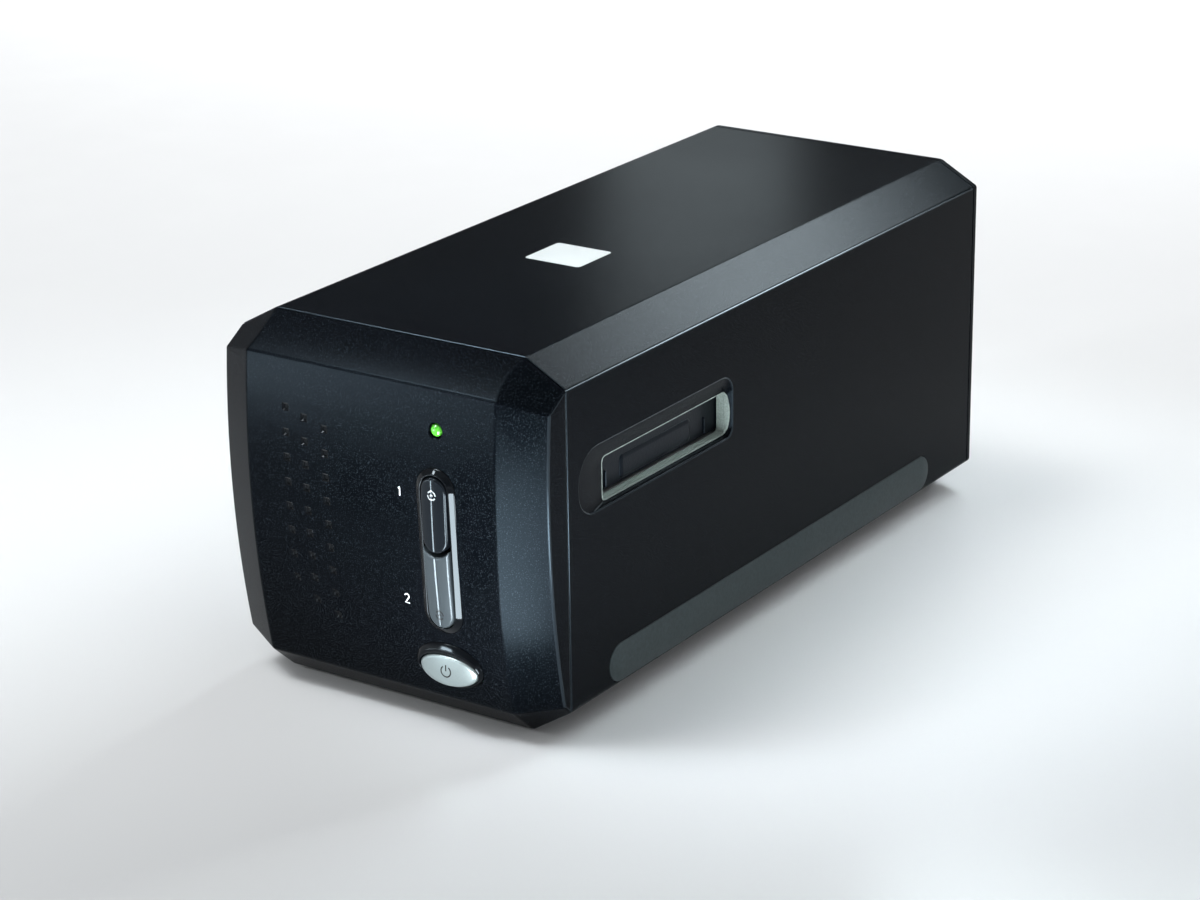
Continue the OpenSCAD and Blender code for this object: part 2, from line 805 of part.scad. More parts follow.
// A dust door hung from its barrel, with a raised pad and two fine ribs
module dust_door() {
    z0 = slot_z0 + door_low;
    pad_y = slot_l / 3.5;
    pad_h = 0.62 * slot_h;
    rib_y = slot_l / 2.5;
    rib_up = 0.45 * slot_h;
    barrel_y0 = door_y0 + spring_l + 0.6;
    color(gloss_col) difference() {
        union() {
            block([door_x - door_t, door_y0, z0], [door_x, door_y1, hinge_z - barrel_r - seam]);
            block([door_x - door_t, barrel_y0, z0], [door_x, door_y1, hinge_z]);
            rod_y(hinge_x, hinge_z, barrel_y0, door_y1, barrel_r);
            along_x(door_x - 0.1, door_x + pad_out)
            polygon(rounded([[slot_y - pad_y, z0 + pad_in], [slot_y + pad_y, z0 + pad_in],
                             [slot_y + pad_y, z0 + pad_h], [slot_y - pad_y, z0 + pad_h]], 1));
            for (s = [-1, 1])
                block([door_x - 0.1, slot_y + s * rib_y - pad_out / 2, z0 + pad_in],
                      [door_x + pad_out, slot_y + s * rib_y + pad_out / 2, z0 + rib_up]);
        }
        rod_y(hinge_x, hinge_z, door_y0 - 1, door_y1 + 1, pin_r + run_gap);
    }
}

module right_dust_door() { dust_door(); }
module left_dust_door() { mirror([1, 0, 0]) dust_door(); }

module door_pin() {
    color(metal_col) rod_y(hinge_x, hinge_z, guide_y0 - guide_wall, guide_y1 + guide_wall, pin_r);
}

module right_door_pin() { door_pin(); }
module left_door_pin() { mirror([1, 0, 0]) door_pin(); }

// A wire of radius r swept along points, as one closed skin with the given sides
module wire(points, r, sides) {
    n = len(points);
    rings = [
        for (i = [0 : n - 1])
            let (d = points[min(n - 1, i + 1)] - points[max(0, i - 1)], t = d / norm(d),
                 u = cross(t, abs(t[1]) > 0.9 ? [1, 0, 0] : [0, 1, 0]), a = u / norm(u), b = cross(t, a))
            for (k = [0 : sides - 1])
                points[i] + r * (cos(360 * k / sides) * a + sin(360 * k / sides) * b)
    ];
    walls = [
        for (i = [0 : n - 2], k = [0 : sides - 1])
            let (m = (k + 1) % sides, a = i * sides + k, b = i * sides + m)
            each [[a, b, b + sides], [a, b + sides, a + sides]]
    ];
    caps = [[for (k = [sides - 1 : -1 : 0]) k], [for (k = [0 : sides - 1]) (n - 1) * sides + k]];
    polyhedron(rings, concat(walls, caps));
}

// Torsion spring round the hinge pin, with one leg down the door and one leg up
module door_spring() {
    turns = 4;
    steps = 12;
    coil = (barrel_r + pin_r) / 2 + 0.1;
    wire_r = 0.25;
    y0 = door_y0 + 2 * wire_r;
    leg = 0.4 * slot_h;
    path = concat(
        [[hinge_x + 0.25, y0, hinge_z - leg - coil]],
        [for (k = [0 : turns * steps])
            [hinge_x - coil * cos(360 * k / steps), y0 + (spring_l - 1) * k / (turns * steps),
             hinge_z + coil * sin(360 * k / steps)]],
        [[hinge_x - coil, y0 + spring_l - 1, hinge_z + 2 * coil]]);
    color(metal_col) wire(path, wire_r, 6);
}

module right_door_spring() { door_spring(); }
module left_door_spring() { mirror([1, 0, 0]) door_spring(); }

module scan_button_surround() {
    color(gloss_col) surround(0, 1, 2, 3) {
        scan_outline(surround_m);
        scan_outline(surround_m - surround_slope);
        scan_outline(button_gap);
        scan_outline(button_gap + skirt_t);
    }
}

module power_button_surround() {
    color(gloss_col) surround(0, 1, 2, 3) {
        power_rim(0);
        power_rim(power_slope);
        power_outline(button_gap);
        power_outline(button_gap + skirt_t);
    }
}

module upper_scan_button() { color(button_col) scan_button(upper_z) upper_outline(); }
module lower_scan_button() { color(button_col) scan_button(lower_z) lower_outline(); }

// The power button's crown is a slice of a large ball
module power_button() {
    ball_r = 45;
    y = face_y(power_mid);
    crest_y = y - button_h - 2 * button_crown;
    color(button_col) {
        intersection() {
            along_y(crest_y - 1, y + skirt_l + button_gap + tab_t) power_outline(0);
            translate([ctrl_x, crest_y + ball_r, power_mid]) sphere(r = ball_r, $fn = 120);
        }
        button_back(power_mid, power_w);
    }
}

module status_lamp() {
    y = face_y(led_mid);
    color("#5fae3c") {
        rod_y(ctrl_x, led_mid, y + led_r + 0.2, panel_board_y, led_r);
        translate([ctrl_x, y + led_r + 0.2, led_mid]) sphere(r = led_r);
    }
}

module button_board() {
    y1 = panel_board_y + board_t;
    color(board_col) difference() {
        union() {
            block([ctrl_x - board_half, panel_board_y, board_z0], [ctrl_x + board_half, y1, board_z1]);
            block([ctrl_x - ribbon_w / 2 - 1, y1, board_z1 - 2 * plug_h - 2],
                  [ctrl_x + ribbon_w / 2 + 1, y1 + plug_d, board_z1 - plug_h - 2]);
        }
        for (p = board_posts) rod_y(p[0], p[1], panel_board_y - 1, y1 + 1, screw_r);
    }
}

// Switch bodies with a well that takes the tip of each button's stem
module panel_switches() {
    color(gloss_col) for (z = [upper_z, lower_z, power_mid]) difference() {
        block([ctrl_x - switch_w / 2, switch_y, z - switch_w / 2],
              [ctrl_x + switch_w / 2, panel_board_y, z + switch_w / 2]);
        rod_y(ctrl_x, z, switch_y - 1, switch_y + button_travel + 2 * button_gap, stem_r + fit_gap);
    }
}

module board_screws() {
    y = panel_board_y + board_t;
    color(metal_col) for (p = board_posts) {
        rod_y(p[0], p[1], y - board_t - screw_l + 1, y, screw_r);
        rod_y(p[0], p[1], y, y + 1.2, 2 * screw_r);
    }
}

// Sheet base that carries the columns, the guide rods, the motor and the idler
module base_frame() {
    color(frame_col) difference() {
        union() {
            block([-frame_half, frame_y0, frame_z], [frame_half, frame_y1, frame_top]);
            for (s = [-1, 1], y = [rod_y0, rod_y1 - ear_l])
                block([s * rod_x - ear_half, y, frame_top - 1],
                      [s * rod_x + ear_half, y + ear_l, rod_z + ear_half]);
            block([pulley_x - spring_seat_w / 2, spring_y1, frame_top - 1],
                  [pulley_x + spring_seat_w / 2, spring_y1 + frame_t, frame_top + spring_seat_h]);
            for (p = io_posts)
                translate([p[0], p[1], frame_top - 1]) cylinder(r = post_r, h = io_z - frame_top + 1);
        }
        for (s = [-1, 1]) rod_y(s * rod_x, rod_z, rod_y0 - 1, rod_y1 + 1, rod_r + run_gap);
        for (p = frame_posts) translate([p[0], p[1], frame_z - 1]) cylinder(r = screw_r, h = frame_t + 2);
    }
}

module frame_screws() {
    color(metal_col) for (p = frame_posts) translate([p[0], p[1], frame_top]) {
        translate([0, 0, 1 - frame_t - screw_l]) cylinder(r = screw_r, h = frame_t + screw_l - 1);
        cylinder(r = head_r, h = head_h);
    }
}

module guide_columns() {
    color(metal_col) for (s = [-1, 1], y = [guide_y0 - guide_wall / 2, guide_y1 + guide_wall / 2])
        translate([s * column_x, y, frame_top]) cylinder(r = column_r, h = guide_z0 - frame_top);
}

// The channel that the film holder slides through, with the door hinges at both mouths
module film_guide() {
    ear_z = hinge_z + barrel_r + 0.5;
    ear_x = hinge_x - 2 * barrel_r;
    color(frame_col) difference() {
        union() {
            block([-door_x, guide_y0 - guide_wall, guide_z0],
                  [door_x, guide_y1 + guide_wall, slot_z0 - seam]);
            for (y = [guide_y0 - guide_wall, guide_y1]) {
                block([-door_x, y, guide_z0], [door_x, y + guide_wall, lamp_z0]);
                for (s = [-1, 1]) scale([s, 1, 1])
                    block([ear_x, y, slot_z0], [door_x, y + guide_wall, ear_z]);
            }
            for (y = [guide_y0 - 1, guide_y1 - rail_w])
                block([-lamp_half - rail_w, y, lamp_z0 - rail_t],
                      [lamp_half + rail_w, y + rail_w + 1, lamp_z0]);
        }
        block([-gate_w / 2, slot_y - gate_l / 2, guide_z0 - 1],
              [gate_w / 2, slot_y + gate_l / 2, slot_z0 + 1]);
        for (s = [-1, 1])
            rod_y(s * hinge_x, hinge_z, guide_y0 - guide_wall - 1, guide_y1 + guide_wall + 1,
                  pin_r + run_gap);
    }
}

// Lamp box over the film gate, open at the bottom, on a flange that rests on the guide's rails
module lamp_housing() {
    x = lamp_half - lip_t;
    y = lamp_y_half - lip_t;
    color(white_col) difference() {
        union() {
            block([-lamp_half, slot_y - lamp_y_half, lamp_z0], [lamp_half, slot_y + lamp_y_half, lamp_z1]);
            block([-lamp_half - lamp_flange, guide_y0 + guide_gap, lamp_z0],
                  [lamp_half + lamp_flange, guide_y1 - guide_gap, lamp_z0 + lip_t]);
        }
        block([-x, slot_y - y, lamp_z0 + lip_t], [x, slot_y + y, lamp_z1 - lip_t]);
        block([-gate_w / 2, slot_y - gate_l / 2, lamp_z0 - 1],
              [gate_w / 2, slot_y + gate_l / 2, lamp_z0 + 2 * lip_t]);
    }
}

// Lamp board under the roof of the lamp box, with rows of light chips
module lamp_board() {
    w = lamp_half - lip_t - fit_gap;
    l = lamp_y_half - lip_t - fit_gap;
    z = lamp_z1 - lip_t - board_t;
    color(white_col) {
        block([-w, slot_y - l, z], [w, slot_y + l, z + board_t]);
        for (i = [-2 : 2], j = [-1 : 1]) {
            p = [i * w / 3, slot_y + j * l / 2, z];
            block(p - [1.5, 1.5, 1], p + [1.5, 1.5, 0.2]);
        }
    }
}

module diffuser() {
    w = lamp_half - lip_t - fit_gap;
    l = lamp_y_half - lip_t - fit_gap;
    color("#f4f6f8") block([-w, slot_y - l, lamp_z0 + lip_t], [w, slot_y + l, lamp_z0 + lip_t + diffuser_t]);
}

// The moving tray: mirror cheeks, lens cradle, sensor posts, bearing blocks and belt arm
module carriage_tray() {
    side_t = 2;
    side_h = 4;
    cheek_end = 6;
    arm_l = 22;
    block_z = rod_z - bush_r - bush_wall;
    m = mirror_l / 2 * cos(45);
    color(gloss_col) difference() {
        union() {
            block([-tray_half, tray_y0, tray_z], [tray_half, tray_y1, tray_top]);
            for (s = [-1, 1]) scale([s, 1, 1])
                block([tray_half - side_t, tray_y0, tray_z], [tray_half, tray_y1, tray_top + side_h]);
            for (s = [-1, 1]) scale([s, 1, 1]) along_x(mirror_half + seam, mirror_half + seam + cheek_t)
            polygon([[mirror_y - m - cheek_end, tray_top - 1], [mirror_y + m + 2, tray_top - 1],
                     [mirror_y + m + 2, axis_z - m - 1], [mirror_y - m + 1, axis_z + m + 2],
                     [mirror_y - m - cheek_end, axis_z + m + 2]]);
            sloping_plate(mirror_half + 1, mirror_t, 2 * mirror_t);
            block([-lens_r - cradle_w, lens_y0 + cradle_w, tray_top - 1],
                  [lens_r + cradle_w, lens_y1 - cradle_w, axis_z]);
            for (s = [-1, 1])
                block([(s * tray_half - cradle_w) / 2, sensor_y + board_t, tray_top - 1],
                      [(s * tray_half + cradle_w) / 2, sensor_y + board_t + io_gap, axis_z + 4]);
            for (y = bush_ys)
                block([-rod_x - ear_half, y, block_z], [1 - tray_half, y + bush_l, tray_top]);
            block([tray_half - 1, fork_y, block_z], [rod_x + ear_half - 1, fork_y + bush_l, tray_top]);
            block([tray_half - side_t, tray_y0, tray_top], [tray_half, tray_y0 + arm_l, belt_z + belt_w]);
        }
        rod_y(0, axis_z, lens_y0, lens_y1, lens_r);
        for (y = bush_ys) rod_y(-rod_x, rod_z, y - 1, y + bush_l + 1, bush_r);
        block([rod_x - rod_r - 2 * fit_gap, fork_y - 1, rod_z - rod_r - run_gap],
              [rod_x + ear_half, fork_y + bush_l + 1, rod_z + rod_r + run_gap]);
    }
}

// A sloping plate behind the fold mirror's face, between depths d0 and d1
module sloping_plate(half, d0, d1) {
    m = mirror_l / 2;
    along_x(-half, half)
        translate([mirror_y, axis_z]) rotate(-45) translate([-m, -d1]) square([2 * m, d1 - d0]);
}

module fold_mirror() { color("#dfe6ea") sloping_plate(mirror_half, 0, mirror_t); }

// Placed in the tray's cradle, glass towards the sensor
module lens_barrel() {
    ring_y = lens_y0 + 2;
    rim = 3;
    color(gloss_col) difference() {
        union() {
            rod_y(0, axis_z, lens_y0, lens_y1, lens_r);
            rod_y(0, axis_z, ring_y, ring_y + 2, lens_r + 1);
        }
        rod_y(0, axis_z, lens_y0 - 1, lens_y0 + rim, lens_r - rim);
        rod_y(0, axis_z, lens_y1 - rim, lens_y1 + 1, lens_r - rim);
    }
}

module lens_clamp() {
    strap_w = 8;
    strap_t = 1.5;
    y0 = (lens_y0 + lens_y1 - strap_w) / 2;
    color(metal_col) difference() {
        union() {
            rod_y(0, axis_z, y0, y0 + strap_w, lens_r + strap_t);
            block([-lens_r - cradle_w, y0, axis_z], [lens_r + cradle_w, y0 + strap_w, axis_z + strap_t]);
        }
        rod_y(0, axis_z, y0 - 1, y0 + strap_w + 1, lens_r);
        block([-body_w, y0 - 1, 0], [body_w, y0 + strap_w + 1, axis_z]);
    }
}

module sensor_board() {
    x = tray_half - sensor_board_in;
    color(board_col) block([-x, sensor_y, tray_top], [x, sensor_y + board_t, axis_z + sensor_board_h]);
}

module line_sensor() {
    x = tray_half - sensor_end;
    color("#2a2d31")
        block([-x, sensor_y - sensor_t, axis_z - sensor_h / 2], [x, sensor_y, axis_z + sensor_h / 2]);
}

module left_guide_rod() { color(metal_col) rod_y(-rod_x, rod_z, rod_y0, rod_y1, rod_r); }
module right_guide_rod() { color(metal_col) rod_y(rod_x, rod_z, rod_y0, rod_y1, rod_r); }

module carriage_bushes() {
    color("#b08a3e") for (y = bush_ys) difference() {
        rod_y(-rod_x, rod_z, y, y + bush_l, bush_r);
        rod_y(-rod_x, rod_z, y - 1, y + bush_l + 1, rod_r + run_gap);
    }
}

module stepper_motor() {
    color(metal_col) translate([pulley_x, motor_y, frame_top]) difference() {
        union() {
            cylinder(r = motor_r, h = motor_h);
            translate([-motor_r / 2, -motor_r - motor_ear, 0])
                cube([motor_r, 2 * (motor_r + motor_ear), motor_ear_t]);
        }
        translate([0, 0, motor_h - shaft_in - 1]) cylinder(r = shaft_r + run_gap, h = shaft_in + 2);
    }
}

module motor_shaft() {
    z0 = frame_top + motor_h - shaft_in;
    color(metal_col)
        translate([pulley_x, motor_y, z0]) cylinder(r = shaft_r, h = pulley_z + pulley_h + 1 - z0);
}

// A toothed belt pulley with two flanges
module pulley(bore) {
    teeth = 20;
    rim = [
        for (k = [0 : teeth - 1], q = [[0, 0], [0.45, 0], [0.55, 0.6], [0.9, 0.6]])
            let (a = 360 * (k + q[0]) / teeth)
            (pulley_r - q[1]) * [cos(a), sin(a)]
    ];
    difference() {
        union() {
            linear_extrude(pulley_h) polygon(rim);
            for (z = [0, pulley_h - flange_t])
                translate([0, 0, z]) cylinder(r = pulley_r + belt_t, h = flange_t);
        }
        translate([0, 0, -1]) cylinder(r = bore, h = pulley_h + 2);
    }
}

module motor_pulley() { color(white_col) translate([pulley_x, motor_y, pulley_z]) pulley(shaft_r); }
module idler_pulley() { color(white_col) translate([pulley_x, idler_y, pulley_z]) pulley(idler_r + run_gap); }

// Sliding foot and post of the idler, with a seat for the tension spring
module idler_bracket() {
    half = idler_foot / 2;
    seat_half = spring_seat_w / 2;
    color(frame_col) difference() {
        union() {
            block([pulley_x - half + 1, idler_y - half, frame_top],
                  [pulley_x + half - 1, idler_y + half, frame_top + idler_foot_t]);
            translate([pulley_x, idler_y, frame_top])
                cylinder(r = 2 * idler_r, h = pulley_z - 2 * fit_gap - frame_top);
            block([pulley_x - seat_half, idler_y + half - idler_foot_t, frame_top],
                  [pulley_x + seat_half, idler_y + half, frame_top + spring_seat_h]);
        }
        translate([pulley_x, idler_y, frame_top + half]) cylinder(r = idler_r, h = pulley_z);
    }
}

module idler_pin() {
    low = frame_top + idler_foot / 2;
    top = pulley_z + pulley_h + fit_gap;
    color(metal_col) translate([pulley_x, idler_y, 0]) {
        translate([0, 0, low]) cylinder(r = idler_r, h = top - low);
        translate([0, 0, top]) cylinder(r = idler_r + belt_t, h = 1);
    }
}

// Compression spring that pushes the idler away from the motor
module tension_spring() {
    turns = 6;
    steps = 12;
    coil = 2;
    wire_r = 0.3;
    y0 = idler_y + idler_foot / 2 + wire_r + run_gap;
    y1 = spring_y1 - wire_r - run_gap;
    color(metal_col) wire(
        [for (k = [0 : turns * steps])
            [pulley_x + coil * cos(360 * k / steps), y0 + (y1 - y0) * k / (turns * steps),
             frame_top + spring_lift + coil * sin(360 * k / steps)]], wire_r, 6);
}

module belt_outline(r) {
    for (y = [idler_y, motor_y]) translate([pulley_x, y]) circle(r = r);
    translate([pulley_x - r, idler_y]) square([2 * r, motor_y - idler_y]);
}

module drive_belt() {
    color("#24262a") translate([0, 0, belt_z - belt_w / 2]) linear_extrude(belt_w) difference() {
        belt_outline(pulley_r + belt_gap + belt_t);
        belt_outline(pulley_r + belt_gap);
    }
}

// Clamp on the tray's arm, closed round the near run of the belt
module belt_clamp() {
    x = pulley_x - pulley_r - belt_gap - belt_t;
    y0 = tray_y0 + clamp_in;
    half = belt_w / 2 + seam;
    color(white_col) difference() {
        block([tray_half, y0, belt_z - half - clamp_wall + seam],
              [x + belt_t + clamp_wall, y0 + clamp_l, belt_z + half + clamp_wall - seam]);
        block([x - seam, y0 - 1, belt_z - half], [x + belt_t + seam, y0 + clamp_l + 1, belt_z + half]);
    }
}

// Main board over the optics, with its chips, capacitors and ribbon socket.
// Chips and capacitors: place as shares of the board's half width and length, then size
module main_board() {
    top = main_z + board_t;
    long = main_y1 - main_y0;
    chips = [
        [-0.37, 0.45, 24, 24, 2.4],
        [0.26, 0.39, 14, 10, 1.4],
        [0.26, 0.57, 14, 10, 1.4],
        [-0.78, 0.74, 10, 14, 3]
    ];
    cans = [[0.67, 0.23], [0.67, 0.36], [-0.74, 0.23]];
    can_r = 4;
    can_h = 9;
    color(board_col) {
        block([-frame_half, main_y0, main_z], [frame_half, main_y1, top]);
        for (c = chips) translate([c[0] * frame_half, main_y0 + c[1] * long, top - 0.1])
            cube([c[2], c[3], c[4] + 0.1]);
        for (c = cans)
            translate([c[0] * frame_half, main_y0 + c[1] * long, top - 0.1]) cylinder(r = can_r, h = can_h);
        block([ctrl_x - ribbon_w / 2 - 1, main_y0 + plug_h + 1, top - 0.1],
              [ctrl_x + ribbon_w / 2 + 1, main_y0 + 2 * plug_h, top + plug_d]);
    }
}

module board_columns() {
    color(metal_col) for (s = [-1, 1], y = [main_y0 + 2 * column_r, main_y1 - 2 * column_r])
        translate([s * column_x, y, frame_top]) cylinder(r = column_r, h = main_z - frame_top);
}

module connector_board() {
    color(board_col) block([io_x0, tray_y1 + io_gap, io_z], [io_x1, y_rear - io_gap / 2, io_z + board_t]);
}

// Square data socket with its tongue
module usb_socket() {
    y1 = y_back - usb_sink;
    mid = port_z + usb_h / 2;
    hole = [4.3, 9, 4];
    tongue = [2.8, 10, 1.6];
    color(metal_col) difference() {
        block([usb_x - usb_w / 2, y1 - usb_l, port_z], [usb_x + usb_w / 2, y1, port_z + usb_h]);
        difference() {
            block([usb_x - hole[0], y1 - hole[1], mid - hole[2]], [usb_x + hole[0], y1 + 1, mid + hole[2]]);
            block([usb_x - tongue[0], y1 - tongue[1], mid - tongue[2]],
                  [usb_x + tongue[0], y1 - 1, mid + tongue[2]]);
        }
    }
}

// Round power socket with its centre pin
module power_socket() {
    y1 = y_rear - seam;
    z = port_z + usb_h / 2;
    hole_l = 10;
    color(gloss_col) difference() {
        block([jack_x - jack_w / 2, y1 - jack_l, port_z], [jack_x + jack_w / 2, y1, port_z + usb_h]);
        difference() {
            rod_y(jack_x, z, y1 - hole_l, y1 + 1, jack_r);
            rod_y(jack_x, z, y1 - hole_l - 1, y1 - 1, jack_r / 3);
        }
    }
}

// Flat lead from the button board, over the lamp box, to the main board
module panel_ribbon() {
    bend = 6;
    y0 = panel_board_y + board_t + plug_d / 2;
    y1 = main_y0 + (3 * plug_h + 1) / 2;
    high = z_top - wall - rib_h - lip_t;
    path = [
        [y0, board_z1 - plug_h - 2], [y0, high - bend], [y0 + bend, high],
        [y1 - bend, high], [y1, high - bend], [y1, main_z + board_t + plug_d]
    ];
    inner = ribbon_t * [[1, 0], [1, 0], [0.5, -1], [-0.5, -1], [-1, 0], [-1, 0]];
    color("#cfd3d6") along_x(ctrl_x - ribbon_w / 2, ctrl_x + ribbon_w / 2)
    polygon(concat(path, [for (k = [len(path) - 1 : -1 : 0]) path[k] + inner[k]]));
}

front_bezel();
top_cover();
lower_housing();
rear_panel();
rubber_feet();
right_dust_door();
left_dust_door();
right_door_spring();
left_door_spring();
right_door_pin();
left_door_pin();
right_side_strip();
left_side_strip();
label_plate();
scan_button_surround();
upper_scan_button();
lower_scan_button();
power_button_surround();
power_button();
status_lamp();
button_board();
panel_switches();
board_screws();
base_frame();
guide_columns();
film_guide();
lamp_housing();
lamp_board();
diffuser();
carriage_tray();
fold_mirror();
lens_barrel();
lens_clamp();
sensor_board();
line_sensor();
left_guide_rod();
right_guide_rod();
carriage_bushes();
stepper_motor();
motor_shaft();
motor_pulley();
idler_bracket();
idler_pin();
idler_pulley();
drive_belt();
belt_clamp();
tension_spring();
main_board();
board_columns();
connector_board();
usb_socket();
power_socket();
panel_ribbon();
frame_screws();
rear_screws();
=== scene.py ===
import json
import math

import bmesh
import bpy
from mathutils import Matrix, Vector


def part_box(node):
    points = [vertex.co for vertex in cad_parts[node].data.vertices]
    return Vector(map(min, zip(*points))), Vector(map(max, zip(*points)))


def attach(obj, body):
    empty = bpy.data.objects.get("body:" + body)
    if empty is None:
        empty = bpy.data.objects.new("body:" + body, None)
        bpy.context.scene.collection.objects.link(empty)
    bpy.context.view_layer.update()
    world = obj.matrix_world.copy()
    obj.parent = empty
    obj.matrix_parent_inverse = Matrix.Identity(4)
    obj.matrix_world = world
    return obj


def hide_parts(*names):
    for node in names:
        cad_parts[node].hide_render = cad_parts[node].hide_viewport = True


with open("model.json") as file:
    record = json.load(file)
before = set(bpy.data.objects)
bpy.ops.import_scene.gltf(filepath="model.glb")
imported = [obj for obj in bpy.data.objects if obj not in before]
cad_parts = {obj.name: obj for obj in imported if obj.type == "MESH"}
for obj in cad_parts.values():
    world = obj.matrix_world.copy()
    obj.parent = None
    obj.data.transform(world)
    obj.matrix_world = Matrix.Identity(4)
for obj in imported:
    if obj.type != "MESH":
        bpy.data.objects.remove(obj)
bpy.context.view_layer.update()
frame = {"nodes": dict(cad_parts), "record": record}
nodes = frame["nodes"]

# ---------------------------------------------------------------- sizes, in millimetres
MM = 0.001
# Body: half width, chamfers, walls and the rear panel's locating lip
HALF_W = 60.0
CHAMFER_W = 14.0
EDGE_X = HALF_W - CHAMFER_W
WALL = 2.5
LIP_L, LIP_T = 4.0, 1.5
SEAM = 0.3
EDGE_R = 0.8
# Body: heights of the housing's underside, its top, and the side walls' two edges
Z_FLOOR = 1.5
Z_TOP = 120.0
Z_SIDE_TOP = 112.25
Z_SIDE_BOTTOM = 10.4
# Body: bezel's foremost point, its seam, the rear panel's two faces
Y_FRONT = -134.9
Y_SEAM = -118.05
Y_REAR = 134.3
Y_BACK = 137.1
# Rear screws: places, radius of shank and head, height of head
SCREW_X = 53.5
SCREW_ZS = (22.4, 98.25)
SHANK_R, HEAD_R = 1.1, 2.6
HEAD_H = 1.8

# Bezel: the bow's radius, axis and foremost height, arc in degrees, the flat's ends, the top's crown
BOW_R = 335.0
Y_AXIS = Y_FRONT + BOW_R
Z_APEX = 77.75
BOW_START, BOW_SWEEP = -14.5, 24.5
BEZEL_BACK = 7.3
FACE_TOP = 110.6
FACE_LOW = 10.5
CROWN = 0.6
# Dimples: x, height of the first, pitch and count of each column; half width and height over the face
DIMPLES = ((-31.0, 95.4, 7.95, 8), (-24.0, 93.2, 7.45, 9), (-16.4, 91.0, 7.65, 9))
DIMPLE_STEPS = ((0.6, -0.6), (0.74, -0.31), (1.28, -0.02), (1.34, 0.06), (1.34, 0.9))
DIMPLE_CORNER = 0.28

# Controls: places, half sizes and rims of the keys, and the lamp
CTRL_X = 24.8
SCAN_W = 9.2
UPPER = (60.5, 84.3)
LOWER_Z0 = 35.9
POWER_Z = 21.2
POWER_HALF = (10.5, 4.8)
POWER_UP = 1.1
POWER_RIM = (12.2, 7.5)
POWER_BALL = 45.0
BUTTON_H = 1.6
BUTTON_CROWN = 0.6
BUTTON_GAP = 0.3
KEY_DEPTH = 3.0
SKIRT = 2.7
RIM_R = 0.7
GROOVE, GROOVE_W = 0.3, 0.32
LED_Z = 98.2
LED_BACK = -120.5
LED_STEM_R, LENS_R = 1.5, 1.95
ICON_W = 0.42
ICON_R = 1.35
NUMBER_W = 0.4

# Film slots, dust doors and side strips
SLOT_Y = (-96.9, -27.5)
SLOT_Z = (70.9, 84.6)
SLOT_R = 1.5
DOOR_X = 54.2
DOOR_T = 1.3
HINGE = (52.3, 86.2)
BARREL_R, BORE_R = 1.9, 1.05
STRIP_Y = (-97.3, 104.7)
STRIP_Z = (10.9, 23.2)
STRIP_MID = (STRIP_Z[0] + STRIP_Z[1]) / 2
STRIP_HALF = (STRIP_Z[1] - STRIP_Z[0]) / 2

# Label's field on the top
LABEL_LO, LABEL_HI = (-11.0, -37.2), (10.0, -17.9)
LABEL_R = 1.3


def face_y(z, height=0.0):
    """Y of the bowed front at height z, at some height over the face."""
    return Y_AXIS - math.sqrt((BOW_R + height) ** 2 - (z - Z_APEX) ** 2)


# ---------------------------------------------------------------- outlines
def edge_normal(p, i):
    a, b = p[i % len(p)], p[(i + 1) % len(p)]
    d = Vector((b[0] - a[0], b[1] - a[1])).normalized()
    return Vector((-d.y, d.x))


def inset_point(p, i, t):
    n1, n2 = edge_normal(p, i + len(p) - 1), edge_normal(p, i)
    q = Vector(p[i][:2]) + t * (n1 + n2) / (1 + n1.dot(n2))
    return (q.x, q.y)


def inset(p, t):
    return [inset_point(p, i, t) for i in range(len(p))]


def rounded(p, r, steps=5):
    """The outline, anticlockwise, with its corners rounded by one radius or one each."""
    out = []
    for i in range(len(p)):
        n1, n2 = edge_normal(p, i + len(p) - 1), edge_normal(p, i)
        q = r[i] if isinstance(r, (list, tuple)) else r
        if q <= 0:
            out.append(tuple(p[i][:2]))
            continue
        turn = math.atan2(n1.x * n2.y - n1.y * n2.x, n1.dot(n2))
        start = math.atan2(-n1.y, -n1.x)
        c = inset_point(p, i, q)
        for k in range(steps + 1):
            a = start + turn * k / steps
            out.append((c[0] + q * math.cos(a), c[1] + q * math.sin(a)))
    return out


def rectangle(lo, hi, r=0.0, steps=5):
    return rounded([lo, (hi[0], lo[1]), hi, (lo[0], hi[1])], r, steps)


def stadium(cx, z0, z1, w, n=20):
    """An upright outline with round ends, anticlockwise from its right side."""
    r = w / 2
    end = [(r * math.cos(math.pi * k / n), r * math.sin(math.pi * k / n)) for k in range(n + 1)]
    return [(cx + a, z1 - r + b) for a, b in end] + [(cx - a, z0 + r - b) for a, b in end]


def oval(cx, cz, a, b, n=96):
    angles = [2 * math.pi * k / n for k in range(n)]
    return [(cx + a * math.cos(t), cz + b * math.sin(t)) for t in angles]


# ---------------------------------------------------------------- meshes
def piece(name, bm, merge=1e-5):
    """Turns a bmesh in millimetres into an object in metres."""
    bmesh.ops.remove_doubles(bm, verts=bm.verts, dist=merge)
    bmesh.ops.recalc_face_normals(bm, faces=bm.faces)
    bmesh.ops.scale(bm, vec=(MM, MM, MM), verts=bm.verts)
    mesh = bpy.data.meshes.new(name)
    bm.to_mesh(mesh)
    bm.free()
    obj = bpy.data.objects.new(name, mesh)
    bpy.context.scene.collection.objects.link(obj)
    return obj


